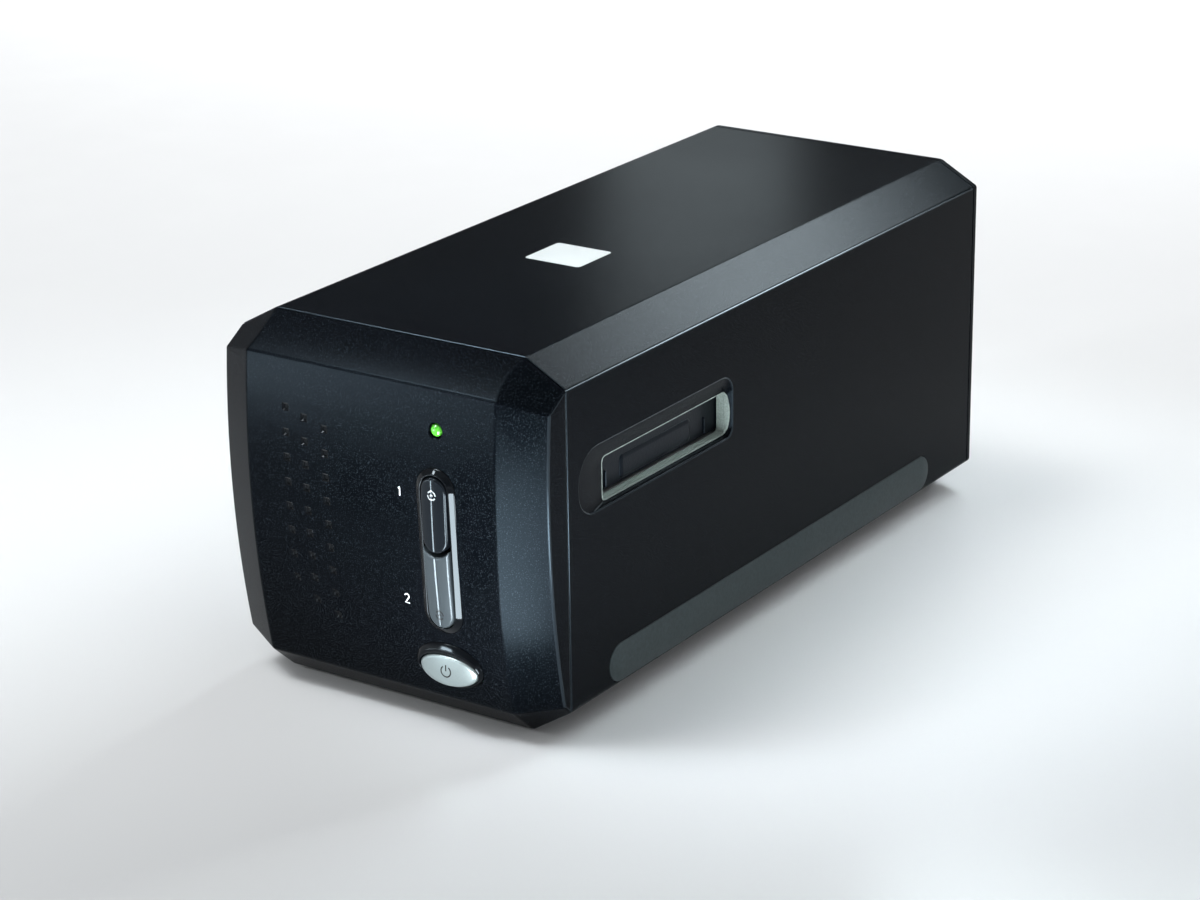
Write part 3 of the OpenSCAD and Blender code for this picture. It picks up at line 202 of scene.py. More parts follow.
def loft(rings, closed=False, bm=None):
    """Joins rings of one length; closed joins the last to the first, else both ends are capped."""
    bm = bm or bmesh.new()
    made = [[bm.verts.new(q) for q in ring] for ring in rings]
    n = len(rings[0])
    for a in range(len(made) if closed else len(made) - 1):
        b = (a + 1) % len(made)
        for k in range(n):
            m = (k + 1) % n
            bm.faces.new((made[a][k], made[a][m], made[b][m], made[b][k]))
    if not closed:
        bm.faces.new(list(reversed(made[0])))
        bm.faces.new(made[-1])
    return bm


def grid(rows, bm=None):
    """A sheet of quads over rows of points."""
    bm = bm or bmesh.new()
    made = [[bm.verts.new(q) for q in row] for row in rows]
    for a, b in zip(made, made[1:]):
        for k in range(len(a) - 1):
            bm.faces.new((a[k], a[k + 1], b[k + 1], b[k]))
    return bm


def apply_modifiers(obj):
    graph = bpy.context.evaluated_depsgraph_get()
    mesh = bpy.data.meshes.new_from_object(obj.evaluated_get(graph))
    obj.modifiers.clear()
    obj.data = mesh


def boolean(obj, cutter, operation="DIFFERENCE"):
    m = obj.modifiers.new("cut", "BOOLEAN")
    m.operation, m.object, m.solver = operation, cutter, "EXACT"
    apply_modifiers(obj)
    bpy.data.objects.remove(cutter)
    return obj


def cut(obj, bm, operation="DIFFERENCE"):
    """Takes a bmesh away from a piece, or joins it on with UNION."""
    return boolean(obj, piece("cutter", bm), operation)


def two_finishes(obj):
    """Gives a mesh its two material slots: 0 for the faces, 1 for the edges, whose lighter, glossier finish
    is wear with a painted highlight.
    """
    obj.data.materials.append(SHELL)
    obj.data.materials.append(EDGE_WEAR_AND_GLINT)
    return obj


def wear_and_glint(obj, picks):
    """Gives the second finish, wear with a painted highlight, to the faces that picks(centre, normal)
    chooses, in millimetres.
    """
    for f in obj.data.polygons:
        if picks(f.center / MM, f.normal):
            f.material_index = 1
    return obj


def round_edges(obj, width, segments=3, angle=20.0, weight=None):
    """Rounds the edges sharper than angle by width in millimetres, times weight(edge's ends)."""
    bm = bmesh.new()
    bm.from_mesh(obj.data)
    layers = bm.edges.layers.float
    layer = layers.get("bevel_weight_edge") or layers.new("bevel_weight_edge")
    for e in bm.edges:
        if len(e.link_faces) == 2 and e.calc_face_angle(0) > math.radians(angle):
            e[layer] = weight(e.verts[0].co / MM, e.verts[1].co / MM) if weight else 1.0
    bm.to_mesh(obj.data)
    bm.free()
    m = obj.modifiers.new("round", "BEVEL")
    m.limit_method, m.width, m.segments = "WEIGHT", width * MM, segments
    m.use_clamp_overlap = False
    apply_modifiers(obj)
    return obj


def smooth(obj, angle=28.0, weighted=True):
    obj.data.shade_smooth()
    obj.data.set_sharp_from_angle(angle=math.radians(angle))
    if weighted:
        m = obj.modifiers.new("normals", "WEIGHTED_NORMAL")
        m.keep_sharp = True
        m.weight = 80
        apply_modifiers(obj)
    return obj


def dress(obj, body, slot, material, *replaced):
    """Gives a piece its body and finish (None keeps its own) and hides the CAD nodes it stands for; slot is
    not used.
    """
    if material:
        obj.data.materials.clear()
        obj.data.materials.append(material)
    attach(obj, body)
    if replaced:
        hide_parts(*replaced)
    return obj


def prism_y(outline, y0, y1):
    return loft([[(x, y0, z) for x, z in outline], [(x, y1, z) for x, z in outline]])


def stack_y(outline, steps, s=1):
    """A solid along Y, with the outline moved in by t at each y of steps; s of -1 mirrors it."""
    return loft([[(s * x, y, z) for x, z in inset(outline, t)] for y, t in steps])


def stack_x(outline, steps, s=1):
    """A solid along X, with the outline moved in by t at each x of steps; s of -1 mirrors it."""
    return loft([[(s * x, y, z) for y, z in inset(outline, t)] for x, t in steps])


def disc_y(cx, cz, steps, n=40, bm=None):
    """A turned solid along Y: radius and Y of each ring."""
    return loft([[(x, y, z) for x, z in oval(cx, cz, r, r, n)] for r, y in steps], bm=bm)


# ---------------------------------------------------------------- finishes
NOISE_SPAN = (0.3, 0.7)
SPECK_SPAN = (0.35, 0.65)
FLECK_SPAN = (0.59, 0.66)


def from_range(node, span):
    node.inputs["From Min"].default_value, node.inputs["From Max"].default_value = span


def finish(name, colour, rough, grain=1200.0, bump=0.0, metal=0.0, spec=0.5, mottle=0.08, speck=0.0,
           rough_spread=0.05, stretch=(1, 1, 1), sheen=0.0, glow=0.0, bump_scale=None,
           spec_tint=(1, 1, 1), fleck=None):
    """A procedural finish: soft mottling, fine speckle, roughness that varies, and grain in the bump."""
    m = bpy.data.materials.new(name)
    m.use_nodes = True
    tree = m.node_tree
    tree.nodes.clear()
    new = tree.nodes.new
    out, shader = new("ShaderNodeOutputMaterial"), new("ShaderNodeBsdfPrincipled")
    tree.links.new(shader.outputs[0], out.inputs[0])
    shader.inputs["Metallic"].default_value = metal
    shader.inputs["Specular IOR Level"].default_value = spec
    shader.inputs["Specular Tint"].default_value = (*spec_tint, 1)
    shader.inputs["Sheen Weight"].default_value = sheen
    where = new("ShaderNodeTexCoord")
    mapping = new("ShaderNodeMapping")
    mapping.inputs["Scale"].default_value = stretch
    tree.links.new(where.outputs["Object"], mapping.inputs[0])

    def noise(scale, detail=2.0):
        n = new("ShaderNodeTexNoise")
        n.inputs["Scale"].default_value = scale
        n.inputs["Detail"].default_value = detail
        tree.links.new(mapping.outputs[0], n.inputs["Vector"])
        return n

    broad, fine = noise(28.0, 4.0), noise(grain, 2.5)
    spread = new("ShaderNodeMapRange")
    from_range(spread, NOISE_SPAN)
    tree.links.new(broad.outputs["Fac"], spread.inputs["Value"])
    tint = new("ShaderNodeMix")
    tint.data_type = "RGBA"
    tint.inputs["A"].default_value = [c * (1 - mottle) for c in colour] + [1]
    tint.inputs["B"].default_value = [min(1, c * (1 + mottle)) for c in colour] + [1]
    tree.links.new(spread.outputs[0], tint.inputs["Factor"])
    colour_out = tint.outputs["Result"]
    if speck or fleck:
        dots = new("ShaderNodeMapRange")
        from_range(dots, FLECK_SPAN if fleck else SPECK_SPAN)
        tree.links.new(fine.outputs["Fac"], dots.inputs["Value"])
        mix = new("ShaderNodeMix")
        mix.data_type = "RGBA"
        bright = fleck or [min(1, c * (1 + speck)) for c in colour]
        mix.inputs["B"].default_value = [*bright, 1]
        tree.links.new(dots.outputs[0], mix.inputs["Factor"])
        tree.links.new(colour_out, mix.inputs["A"])
        colour_out = mix.outputs["Result"]
    tree.links.new(colour_out, shader.inputs["Base Color"])
    gloss = new("ShaderNodeMapRange")
    from_range(gloss, NOISE_SPAN)
    gloss.inputs["To Min"].default_value = max(0.02, rough - rough_spread)
    gloss.inputs["To Max"].default_value = rough + rough_spread
    tree.links.new(broad.outputs["Fac"], gloss.inputs["Value"])
    tree.links.new(gloss.outputs[0], shader.inputs["Roughness"])
    if bump:
        height = noise(bump_scale, 1.0) if bump_scale else fine
        b = new("ShaderNodeBump")
        b.inputs["Strength"].default_value = 1.0
        b.inputs["Distance"].default_value = bump * MM
        tree.links.new(height.outputs["Fac"], b.inputs["Height"])
        tree.links.new(b.outputs[0], shader.inputs["Normal"])
    if glow:
        tree.links.new(colour_out, shader.inputs["Emission Color"])
        shader.inputs["Emission Strength"].default_value = glow
    return m


BLUE_GLOSS = (0.56, 0.8, 1.0)
# Edge finish: lighter and glossier than the shell, partly wear and partly a painted highlight on the edges
# that catch the lamps.
EDGE_WEAR_AND_GLINT = finish("edge_wear_and_painted_glint", (0.009, 0.0115, 0.014), 0.2, grain=1500, bump=0.005, spec=0.26,
              spec_tint=BLUE_GLOSS)
SHELL = finish("shell", (0.001, 0.0014, 0.0022), 0.24, grain=3200, bump=0.03, spec=0.034, mottle=0.1,
               spec_tint=BLUE_GLOSS, rough_spread=0.015, fleck=(0.0135, 0.0172, 0.0213))
GLOSS = finish("gloss_black", (0.0014, 0.0017, 0.0023), 0.08, bump=0.0006, bump_scale=400, spec=0.17,
               rough_spread=0.02, spec_tint=(0.8, 0.92, 1.0))
DOOR = finish("door", (0.0028, 0.0036, 0.0056), 0.3, grain=1300, bump=0.03, spec=0.14,
              spec_tint=(0.6, 0.8, 1.0))
SAGE = finish("sage", (0.215, 0.26, 0.243), 0.5, grain=2200, bump=0.03, spec=0.4, speck=0.35)
SILVER = finish("button_silver", (0.04, 0.05, 0.057), 0.34, grain=900, bump=0.002, metal=0.45,
                spec=0.25)
SMOKE = finish("button_smoke", (0.003, 0.004, 0.0055), 0.2, grain=900, bump=0.002, spec=0.2,
               spec_tint=(0.75, 0.9, 1.0))
PEARL = finish("power_silver", (0.25, 0.295, 0.30), 0.32, grain=1600, bump=0.006, metal=0.7,
               spec=0.5, speck=0.08)
# Painted shade: the dark colour for the engraved icons on the power key and the lower scan key.
ICON_PAINTED_SHADE = finish("painted_icon_mark", (0.008, 0.009, 0.01), 0.4, spec=0.2)
PRINT = finish("print", (0.62, 0.66, 0.68), 0.5, spec=0.3)
# Painted highlight: the pale colour for the upper scan key's engraved icon.
ICON_PAINTED_GLINT = finish("icon_painted_glint", (0.26, 0.29, 0.30), 0.35, spec=0.5)
RUBBER = finish("strip_rubber", (0.019, 0.028, 0.03), 0.62, grain=900, bump=0.03, spec=0.25,
                sheen=0.04, speck=0.3)
FOOT = finish("foot_rubber", (0.012, 0.012, 0.013), 0.7, grain=600, bump=0.03, spec=0.3)
LAMP = finish("lamp_green", (0.05, 0.27, 0.02), 0.1, grain=300, spec=0.6, glow=0.09)
LABEL = finish("label", (0.45, 0.462, 0.458), 0.42, grain=500, bump=0.002, spec=0.4)
BOARD = finish("board", (0.016, 0.11, 0.05), 0.35, grain=260, bump=0.01, spec=0.5, speck=0.35)
SHEET = finish("frame_metal", (0.44, 0.45, 0.47), 0.42, grain=500, bump=0.008, metal=0.9)
BLACKED = finish("blacked_steel", (0.2, 0.205, 0.215), 0.36, grain=900, bump=0.004, metal=0.9)
STEEL = finish("steel", (0.55, 0.56, 0.58), 0.28, grain=260, bump=0.004, metal=1.0,
               stretch=(1, 6, 1))
BRONZE = finish("bronze", (0.52, 0.33, 0.14), 0.4, grain=900, bump=0.01, metal=1.0, speck=0.2)
WHITE = finish("white_plastic", (0.76, 0.765, 0.76), 0.45, grain=900, bump=0.01)
BELT = finish("belt", (0.012, 0.012, 0.013), 0.6, grain=900, bump=0.02)
MIRROR = finish("mirror_glass", (0.86, 0.88, 0.9), 0.05, grain=300, metal=1.0, rough_spread=0.02)
SENSOR = finish("sensor", (0.02, 0.021, 0.024), 0.3, grain=700, bump=0.006)
RIBBON = finish("ribbon", (0.55, 0.57, 0.59), 0.45, grain=120, bump=0.02, stretch=(8, 1, 1))

BY_SLOT = {
    "housing": SHELL, "gloss_black": GLOSS, "button_silver": SILVER, "strip_rubber": RUBBER,
    "foot_rubber": FOOT, "lamp_green": LAMP, "label": LABEL, "board": BOARD, "frame_metal": SHEET,
    "steel": STEEL, "bronze": BRONZE, "white_plastic": WHITE, "belt": BELT, "mirror_glass": MIRROR,
    "sensor": SENSOR, "ribbon": RIBBON,
}
for part in frame["record"]["subparts"]:
    mesh = nodes[part["node"]].data
    mesh.materials.clear()
    mesh.materials.append(BY_SLOT[part["material_slot"]])


# ---------------------------------------------------------------- front bezel
def clip(bm, point, normal):
    """Cuts away what lies beyond a plane and closes the cut."""
    r = bmesh.ops.bisect_plane(
        bm, geom=bm.verts[:] + bm.edges[:] + bm.faces[:], dist=1e-4,
        plane_co=point, plane_no=normal, clear_outer=True)
    edges = [e for e in r["geom_cut"] if isinstance(e, bmesh.types.BMEdge)]
    if edges:
        bmesh.ops.edgeloop_fill(bm, edges=edges)


def bezel_block(t, y_end):
    """The faceted, bowed block of the bezel, with every face moved in by t."""
    lean = math.atan2(BEZEL_BACK, CHAMFER_W)
    edge = EDGE_X - t * math.tan(lean / 2)
    side = HALF_W - t
    drop = (side - edge) * math.tan(lean)
    steps = 30
    bm = bmesh.new()
    front, rear = [], []
    for k in range(steps + 1):
        a = math.radians(BOW_START + BOW_SWEEP * k / steps)
        row = []
        flat_r, side_r = BOW_R - t, BOW_R - t - drop
        for x, r in ((-side, side_r), (-edge, flat_r), (edge, flat_r), (side, side_r)):
            row.append(bm.verts.new((x, Y_AXIS - r * math.cos(a), Z_APEX + r * math.sin(a))))
        z = Z_APEX + BOW_R * math.sin(a)
        front.append(row)
        rear.append([bm.verts.new((-side, y_end, z)), bm.verts.new((side, y_end, z))])
    for k in range(steps):
        for i in range(3):
            bm.faces.new((front[k][i], front[k][i + 1], front[k + 1][i + 1], front[k + 1][i]))
        bm.faces.new((front[k][3], rear[k][1], rear[k + 1][1], front[k + 1][3]))
        bm.faces.new((rear[k][0], front[k][0], front[k + 1][0], rear[k + 1][0]))
        bm.faces.new((rear[k][1], rear[k][0], rear[k + 1][0], rear[k + 1][1]))
    for k in (0, steps):
        ring = front[k] + [rear[k][1], rear[k][0]]
        bm.faces.new(ring if k else list(reversed(ring)))
    bmesh.ops.recalc_face_normals(bm, faces=bm.faces)
    clip(bm, (0, 0, Z_TOP - t), (0, 0, 1))
    clip(bm, (0, 0, Z_FLOOR + t), (0, 0, -1))
    y_hi, y_lo = face_y(FACE_TOP), face_y(FACE_LOW)
    chord = Vector((Y_SEAM - y_hi, Z_TOP - FACE_TOP))
    out = Vector((-chord.y, chord.x)).normalized()
    crown_r = (chord.length_squared / (4 * CROWN) + CROWN) / 2
    mid = Vector((y_hi, FACE_TOP)) + chord / 2 + (CROWN - crown_r) * out
    half = math.asin(chord.length / 2 / crown_r)
    lean_out = math.atan2(out.y, out.x)
    facets = 5
    for k in range(-facets, facets + 1):
        a = lean_out + half * k / facets
        n = Vector((math.cos(a), math.sin(a)))
        p = mid + (crown_r - t) * n
        clip(bm, (0, p.x, p.y), (0, n.x, n.y))
    low = Vector((0, Y_SEAM, Z_FLOOR))
    under = Vector((0, -(FACE_LOW - Z_FLOOR), y_lo - Y_SEAM)).normalized()
    clip(bm, low - t * under, under)
    for s in (1, -1):
        for z_seam, z_side, z_face, y_face in (
                (Z_TOP, Z_SIDE_TOP, FACE_TOP, y_hi), (Z_FLOOR, Z_SIDE_BOTTOM, FACE_LOW, y_lo)):
            corner = Vector((EDGE_X, Y_SEAM, z_seam))
            to_face = Vector((EDGE_X, y_face, z_face)) - corner
            n = to_face.cross(Vector((HALF_W, Y_SEAM, z_side)) - corner).normalized()
            if n.x < 0:
                n = -n
            facing = Vector((s * n.x, n.y, n.z))
            clip(bm, Vector((s * corner.x, corner.y, corner.z)) - t * facing, facing)
    return bm


def dimple_cutters():
    bm = bmesh.new()
    for x, z_first, pitch, count in DIMPLES:
        for k in range(count):
            z = z_first - k * pitch
            lean = math.asin((z - Z_APEX) / BOW_R)
            centre = Vector((x, face_y(z), z))
            up = Vector((0, math.sin(lean), math.cos(lean)))
            outward = Vector((0, -math.cos(lean), math.sin(lean)))
            rings = []
            for half, height in DIMPLE_STEPS:
                ring = rectangle((-half, -half), (half, half), DIMPLE_CORNER, 3)
                middle = outward * height
                rings.append([centre + Vector((1, 0, 0)) * a + up * b + middle for a, b in ring])
            loft(rings, bm=bm)
    return bm


def hole_cutter(x, z, steps):
    """A round hole along Y: radius and depth behind the face of each ring."""
    rings = []
    for r, depth in steps:
        rings.append([(px, face_y(z) + depth, pz) for px, pz in oval(x, z, r, r, 40)])
    return loft(rings)


bezel = two_finishes(piece("bezel_shell", bezel_block(0, Y_SEAM - SEAM / 2)))
round_edges(bezel, 0.6, 3, 14, lambda a, b: 0.7 if min(a.y, b.y) > Y_SEAM - 0.5 else 1.0)
# The bezel's seam edge and its side edges get the edge finish: wear, and a painted highlight along them.
wear_and_glint(bezel, lambda c, n: (c.y > Y_SEAM - 0.7 and 0.15 < n.y < 0.999)
     or (abs(c.x) > HALF_W - 0.7 and 0.5 < abs(n.x) < 0.999 and n.y < -0.04 and abs(n.z) < 0.2))
cut(bezel, bezel_block(WALL, Y_SEAM + 2))
scan_hole = stadium(CTRL_X, LOWER_Z0 - 1.5, UPPER[1] + 1.5, SCAN_W + 3)
power_hole = oval(CTRL_X, POWER_Z, POWER_HALF[0] + 1.5, POWER_HALF[1] + 1.5)
for hole in (scan_hole, power_hole):
    cut(bezel, prism_y(hole, Y_FRONT - 3, Y_SEAM - 4))
cut(bezel, hole_cutter(CTRL_X, LED_Z, (
    (3.2, -0.8), (2.7, -0.02), (2.5, 0.2), (2.45, 2.3), (1.7, 2.3), (1.7, 4.5))))
cut(bezel, dimple_cutters())
bezel.data.materials.append(GLOSS)
pits = [(x, z_first - k * pitch) for x, z_first, pitch, count in DIMPLES for k in range(count)]


def in_pit(c):
    """Whether a point lies in one of the dimples."""
    if c.y >= Y_FRONT + 6 or c.y <= face_y(c.z) + 0.02:
        return False
    return any(max(abs(c.x - x), abs(c.z - z)) < DIMPLE_STEPS[-1][0] for x, z in pits)


for f in bezel.data.polygons:
    if in_pit(f.center / MM):
        f.material_index = 2
smooth(bezel, 24)
dress(bezel, "housing", "housing", None, "front_bezel")


# ---------------------------------------------------------------- cover, lower housing
def hull_y(outline, y0, y1, radius_at):
    """A prism along Y; radius_at gives each edge, by its ends, its share of the rounding."""
    obj = two_finishes(piece("hull", prism_y(outline, y0, y1)))
    return round_edges(obj, EDGE_R, 4, 10, radius_at)


y_lo, y_hi = Y_SEAM + SEAM / 2, Y_REAR - SEAM
END = 0.45


def cover_round(a, b):
    if abs(a.y - b.y) > 1:
        return 1.0 if a.z > Z_TOP - 1 else 0.2
    return 0.0 if max(a.z, b.z) < Z_TOP - 1 else END


def at_ends(c, n):
    return 0.02 < abs(n.y) < 0.999 and (c.y < y_lo + 0.5 or c.y > y_hi - 0.5)


cover_low = Z_SIDE_TOP + SEAM / 2
foot_x = HALF_W - (cover_low - Z_SIDE_TOP) * CHAMFER_W / (Z_TOP - Z_SIDE_TOP)
cover = hull_y([(foot_x, cover_low), (EDGE_X, Z_TOP), (-EDGE_X, Z_TOP), (-foot_x, cover_low)],
               y_lo, y_hi, cover_round)
cover.name = "cover_shell"
# The cover's ends and lower edges get the edge finish: wear, and a painted highlight along them.
wear_and_glint(cover, lambda c, n: at_ends(c, n) or (
    c.z < Z_SIDE_TOP + 0.6 and abs(n.y) < 0.02 and n.z > -0.999 and abs(c.x) > foot_x - 1.2))
shrink = WALL * math.tan(math.atan2(Z_TOP - Z_SIDE_TOP, CHAMFER_W) / 2)
rim_x = foot_x - 2.6
cut(cover, prism_y(
    [(rim_x, cover_low - 1), (rim_x, cover_low + 0.3), (EDGE_X - shrink, Z_TOP - WALL),
     (shrink - EDGE_X, Z_TOP - WALL), (-rim_x, cover_low + 0.3), (-rim_x, cover_low - 1)],
    y_lo - 1, y_hi + 1))
label_field = rectangle(LABEL_LO, LABEL_HI, LABEL_R)
cut(cover, loft([[(x, y, z) for x, y in label_field] for z in (Z_TOP - 0.2, Z_TOP + 1)]))
smooth(cover, 24)
dress(cover, "housing", "housing", None, "top_cover")

label = piece("label_sticker", loft([
    [(x, y, z) for x, y in inset(label_field, t)]
    for z, t in ((Z_TOP - 0.2, 0.03), (Z_TOP + 0.03, 0.03), (Z_TOP + 0.05, 0.07))]))
smooth(label, 40)
dress(label, "housing", "label", LABEL, "label_plate")

rim = Z_SIDE_TOP - SEAM / 2


def lower_round(a, b):
    if abs(a.y - b.y) > 1:
        return 0.7 if a.z > rim - 1 else 1.0
    return 0.0 if min(a.z, b.z) > rim - 1 else END


lower = hull_y([(HALF_W, Z_SIDE_BOTTOM), (HALF_W, rim), (-HALF_W, rim),
                (-HALF_W, Z_SIDE_BOTTOM), (-EDGE_X, Z_FLOOR), (EDGE_X, Z_FLOOR)], y_lo, y_hi, lower_round)
lower.name = "lower_shell"
# The lower housing's ends and top edges get the edge finish: wear, and a painted highlight along them.
wear_and_glint(lower, lambda c, n: at_ends(c, n) or (
    c.z > rim - 0.6 and abs(n.x) < 0.999 and abs(n.z) < 0.999 and abs(n.y) < 0.02))
lean = math.atan2(Z_SIDE_BOTTOM - Z_FLOOR, CHAMFER_W)
side_x = HALF_W - WALL
side_low = Z_SIDE_BOTTOM + WALL * math.tan((math.pi / 2 - lean) / 2)
floor_x = EDGE_X - WALL * math.tan(lean / 2)
cut(lower, prism_y(
    [(side_x, side_low), (side_x, rim + 1), (-side_x, rim + 1), (-side_x, side_low),
     (-floor_x, Z_FLOOR + WALL), (floor_x, Z_FLOOR + WALL)], y_lo - 1, y_hi + 1))


def slot_outline(m, steps=6):
    """The film slot's outline, grown by m."""
    return rectangle((SLOT_Y[0] - m, SLOT_Z[0] - m), (SLOT_Y[1] + m, SLOT_Z[1] + m), SLOT_R + m, steps)


def scoop_outline(m, steps=6):
    """The outline of the recess round the film slot, grown by m."""
    lo, hi = (SLOT_Y[0] - 15.2 - m, SLOT_Z[0] - 1 - m), (SLOT_Y[1] + 1.5 + m, SLOT_Z[1] + 6 + m)
    return rounded([lo, (hi[0], lo[1]), hi, (lo[0], hi[1])], [8 + m, 3.5 + m, 6 + m, 10 + m], steps)


def lerp_ring(a, b, f):
    return [(p[0] + (q[0] - p[0]) * f, p[1] + (q[1] - p[1]) * f) for p, q in zip(a, b)]


for s in (1, -1):
    inner, outer = slot_outline(0), scoop_outline(0)
    rings = []
    for x, ring in (
            (55.0, slot_outline(0.7)), (57.5, slot_outline(0.7)), (57.5, slot_outline(0.32)),
            (57.98, slot_outline(0.34)), (58.04, slot_outline(0.46)),
            (58.25, lerp_ring(inner, outer, 0.16)), (58.75, lerp_ring(inner, outer, 0.4)),
            (59.35, lerp_ring(inner, outer, 0.7)), (HALF_W - 0.28, scoop_outline(-0.25)),
            (HALF_W - 0.1, scoop_outline(-0.02)), (HALF_W + 0.02, scoop_outline(0.28)),
            (HALF_W + 1, scoop_outline(0.28))):
        rings.append([(s * x, y, z) for y, z in ring])
    cut(lower, loft(rings))
    pocket = stadium(STRIP_MID, STRIP_Y[0] - 0.2, STRIP_Y[1] + 0.2, STRIP_Z[1] - STRIP_Z[0] + 0.4)
    cut(lower, loft([[(s * x, y, z) for z, y in pocket] for x in (HALF_W - 0.8, HALF_W + 1)]))
# The rims round the film slots get the edge finish: a painted highlight with wear.
wear_and_glint(lower, lambda c, n: abs(c.x) > HALF_W - 0.3 and abs(n.x) < 0.995 and SLOT_Z[0] - 3 < c.z < SLOT_Z[1] + 8)
smooth(lower, 24)
dress(lower, "housing", "housing", None, "lower_housing")


def slot_ring(m, count=120):
    """Points spread evenly round the slot's outline."""
    path = slot_outline(m, 10)
    lengths = [math.dist(path[i - 1], path[i]) for i in range(len(path))]
    total_length, out, walked, i = sum(lengths), [], lengths[0], 0
    for k in range(count):
        target = total_length * k / count
        while walked < target:
            i += 1
            walked += lengths[i % len(path)]
        a, b = path[i % len(path) - 1], path[i % len(path)]
        f = 1 - (walked - target) / max(lengths[i % len(path)], 1e-9)
        out.append((a[0] + (b[0] - a[0]) * f, a[1] + (b[1] - a[1]) * f))
    return out


def bow_out(y, z):
    """How far the liner's rear end wall bows out past its lip."""
    u = (z - (SLOT_Z[0] + SLOT_Z[1]) / 2) / ((SLOT_Z[1] - SLOT_Z[0]) / 2 + 0.3)
    return 1.5 * max(0.0, 1 - u * u) if y > SLOT_Y[1] - 0.2 else 0.0


for s, side in ((1, "right"), (-1, "left")):
    rings = []
    for x, m in ((54.75, 0.0), (54.75, 0.66), (57.46, 0.66), (57.46, 0.31), (57.98, 0.31),
                 (58.06, 0.24), (58.06, 0.1), (57.98, 0.0), (57.5, 0.0), (57.5, 0.26), (57.2, 0.26),
                 (57.2, 0.0)):
        rings.append([(s * (x + (bow_out(y, z) if x > 57.9 else 0.0)), y, z) for y, z in slot_ring(m)])
    liner = piece(side + "_slot_liner", loft(rings, closed=True))
    smooth(liner, 30)
    dress(liner, "housing", "housing", SAGE)


# ---------------------------------------------------------------- rear panel and its screws
section = [(HALF_W, Z_SIDE_BOTTOM), (HALF_W, Z_SIDE_TOP), (EDGE_X, Z_TOP), (-EDGE_X, Z_TOP),
           (-HALF_W, Z_SIDE_TOP), (-HALF_W, Z_SIDE_BOTTOM), (-EDGE_X, Z_FLOOR), (EDGE_X, Z_FLOOR)]
back_panel = round_edges(
    two_finishes(piece("back_panel", prism_y(section, Y_REAR, Y_BACK))), 0.9, 4, 14,
    lambda a, b: 0.25 if max(a.y, b.y) < Y_REAR + 0.1 else 1.0)
cut(back_panel, prism_y(inset(section, WALL + 0.2), Y_REAR - LIP_L, Y_REAR + 1), "UNION")
cut(back_panel, prism_y(inset(section, WALL + 0.2 + LIP_T), Y_REAR - LIP_L - 1, Y_REAR))
usb_low, usb_high = (Vector(q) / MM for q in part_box("usb_socket"))
port_z = (usb_low.z + usb_high.z) / 2
jack_low, jack_high = (Vector(q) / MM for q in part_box("power_socket"))
jack_x = (jack_low.x + jack_high.x) / 2
bay = rectangle((jack_x - 9, port_z - 9.5), (usb_high.x + 5, port_z + 9.5), 3, 6)
cut(back_panel, stack_y(bay, (
    (Y_BACK - 0.6, 0.5), (Y_BACK - 0.5, 0.4), (Y_BACK - 0.15, 0.25), (Y_BACK + 0.02, 0), (Y_BACK + 1, 0))))
field = rectangle((-32, 50), (32, 88), 2, 6)
cut(back_panel, stack_y(field, ((Y_BACK - 0.25, 0.15), (Y_BACK + 0.02, 0), (Y_BACK + 1, 0))))
opening = rectangle((usb_low.x - 0.2, usb_low.z - 0.2), (usb_high.x + 0.2, usb_high.z + 0.2), 0.5, 4)
cut(back_panel, prism_y(opening, Y_REAR - 1, Y_BACK + 1))
cut(back_panel, disc_y(jack_x, port_z, (
    (4.2, Y_REAR - 1), (4.2, Y_BACK - 0.9), (4.7, Y_BACK - 0.5), (4.7, Y_BACK + 1))))
screw_bm, cross_bm = bmesh.new(), bmesh.new()
arm, web = 1.5, 0.34
cross = [(arm, -web), (arm, web), (web, web), (web, arm), (-web, arm), (-web, web),
         (-arm, web), (-arm, -web), (-web, -web), (-web, -arm), (web, -arm), (web, -web)]
seat = Y_BACK - HEAD_H
top = Y_BACK - 0.3
well_r, mouth_r = HEAD_R + 0.2, HEAD_R + 0.55
head_hole = ((SHANK_R, Y_REAR - 1), (SHANK_R, seat), (well_r, seat), (well_r, top),
             (mouth_r, Y_BACK + 0.05), (mouth_r, Y_BACK + 1))
turned = ((SHANK_R, Y_REAR - 9), (SHANK_R, seat), (HEAD_R - 0.1, seat), (HEAD_R, seat + 0.1),
          (HEAD_R, top - 0.75), (2.5, top - 0.5), (2.2, top - 0.24), (1.6, top - 0.08), (0.8, top))
for s in (1, -1):
    for z in SCREW_ZS:
        x = s * SCREW_X
        cut(back_panel, disc_y(x, z, head_hole))
        cut(back_panel, disc_y(x, z, ((4.7, Y_REAR - 8), (4.7, Y_REAR))))
        disc_y(x, z, turned, bm=screw_bm)
        loft([[(x + u * f, y, z + v * f) for u, v in cross] for y, f in ((top - 1.1, 0.5), (top + 0.1, 1.0))],
             bm=cross_bm)
screws = piece("rear_screw_set", screw_bm)
cut(screws, cross_bm)
smooth(screws, 35)
dress(screws, "housing", "steel", BLACKED, "rear_screws")
smooth(back_panel, 24)
dress(back_panel, "housing", "housing", None, "rear_panel")


# ---------------------------------------------------------------- rubber strips
def pillow(name, outline_at, depth, height, base, place, steps=14):
    """A closed pillow: rings at growing insets over a flat back; height(f) runs from rim to ridge."""
    rings = [[place(base, *q) for q in outline_at(0.0)]]
    for k in range(steps + 1):
        f = (k / steps) ** 1.6
        rings.append([place(height(f), *q) for q in outline_at(depth * f)])
    return piece(name, loft(rings))


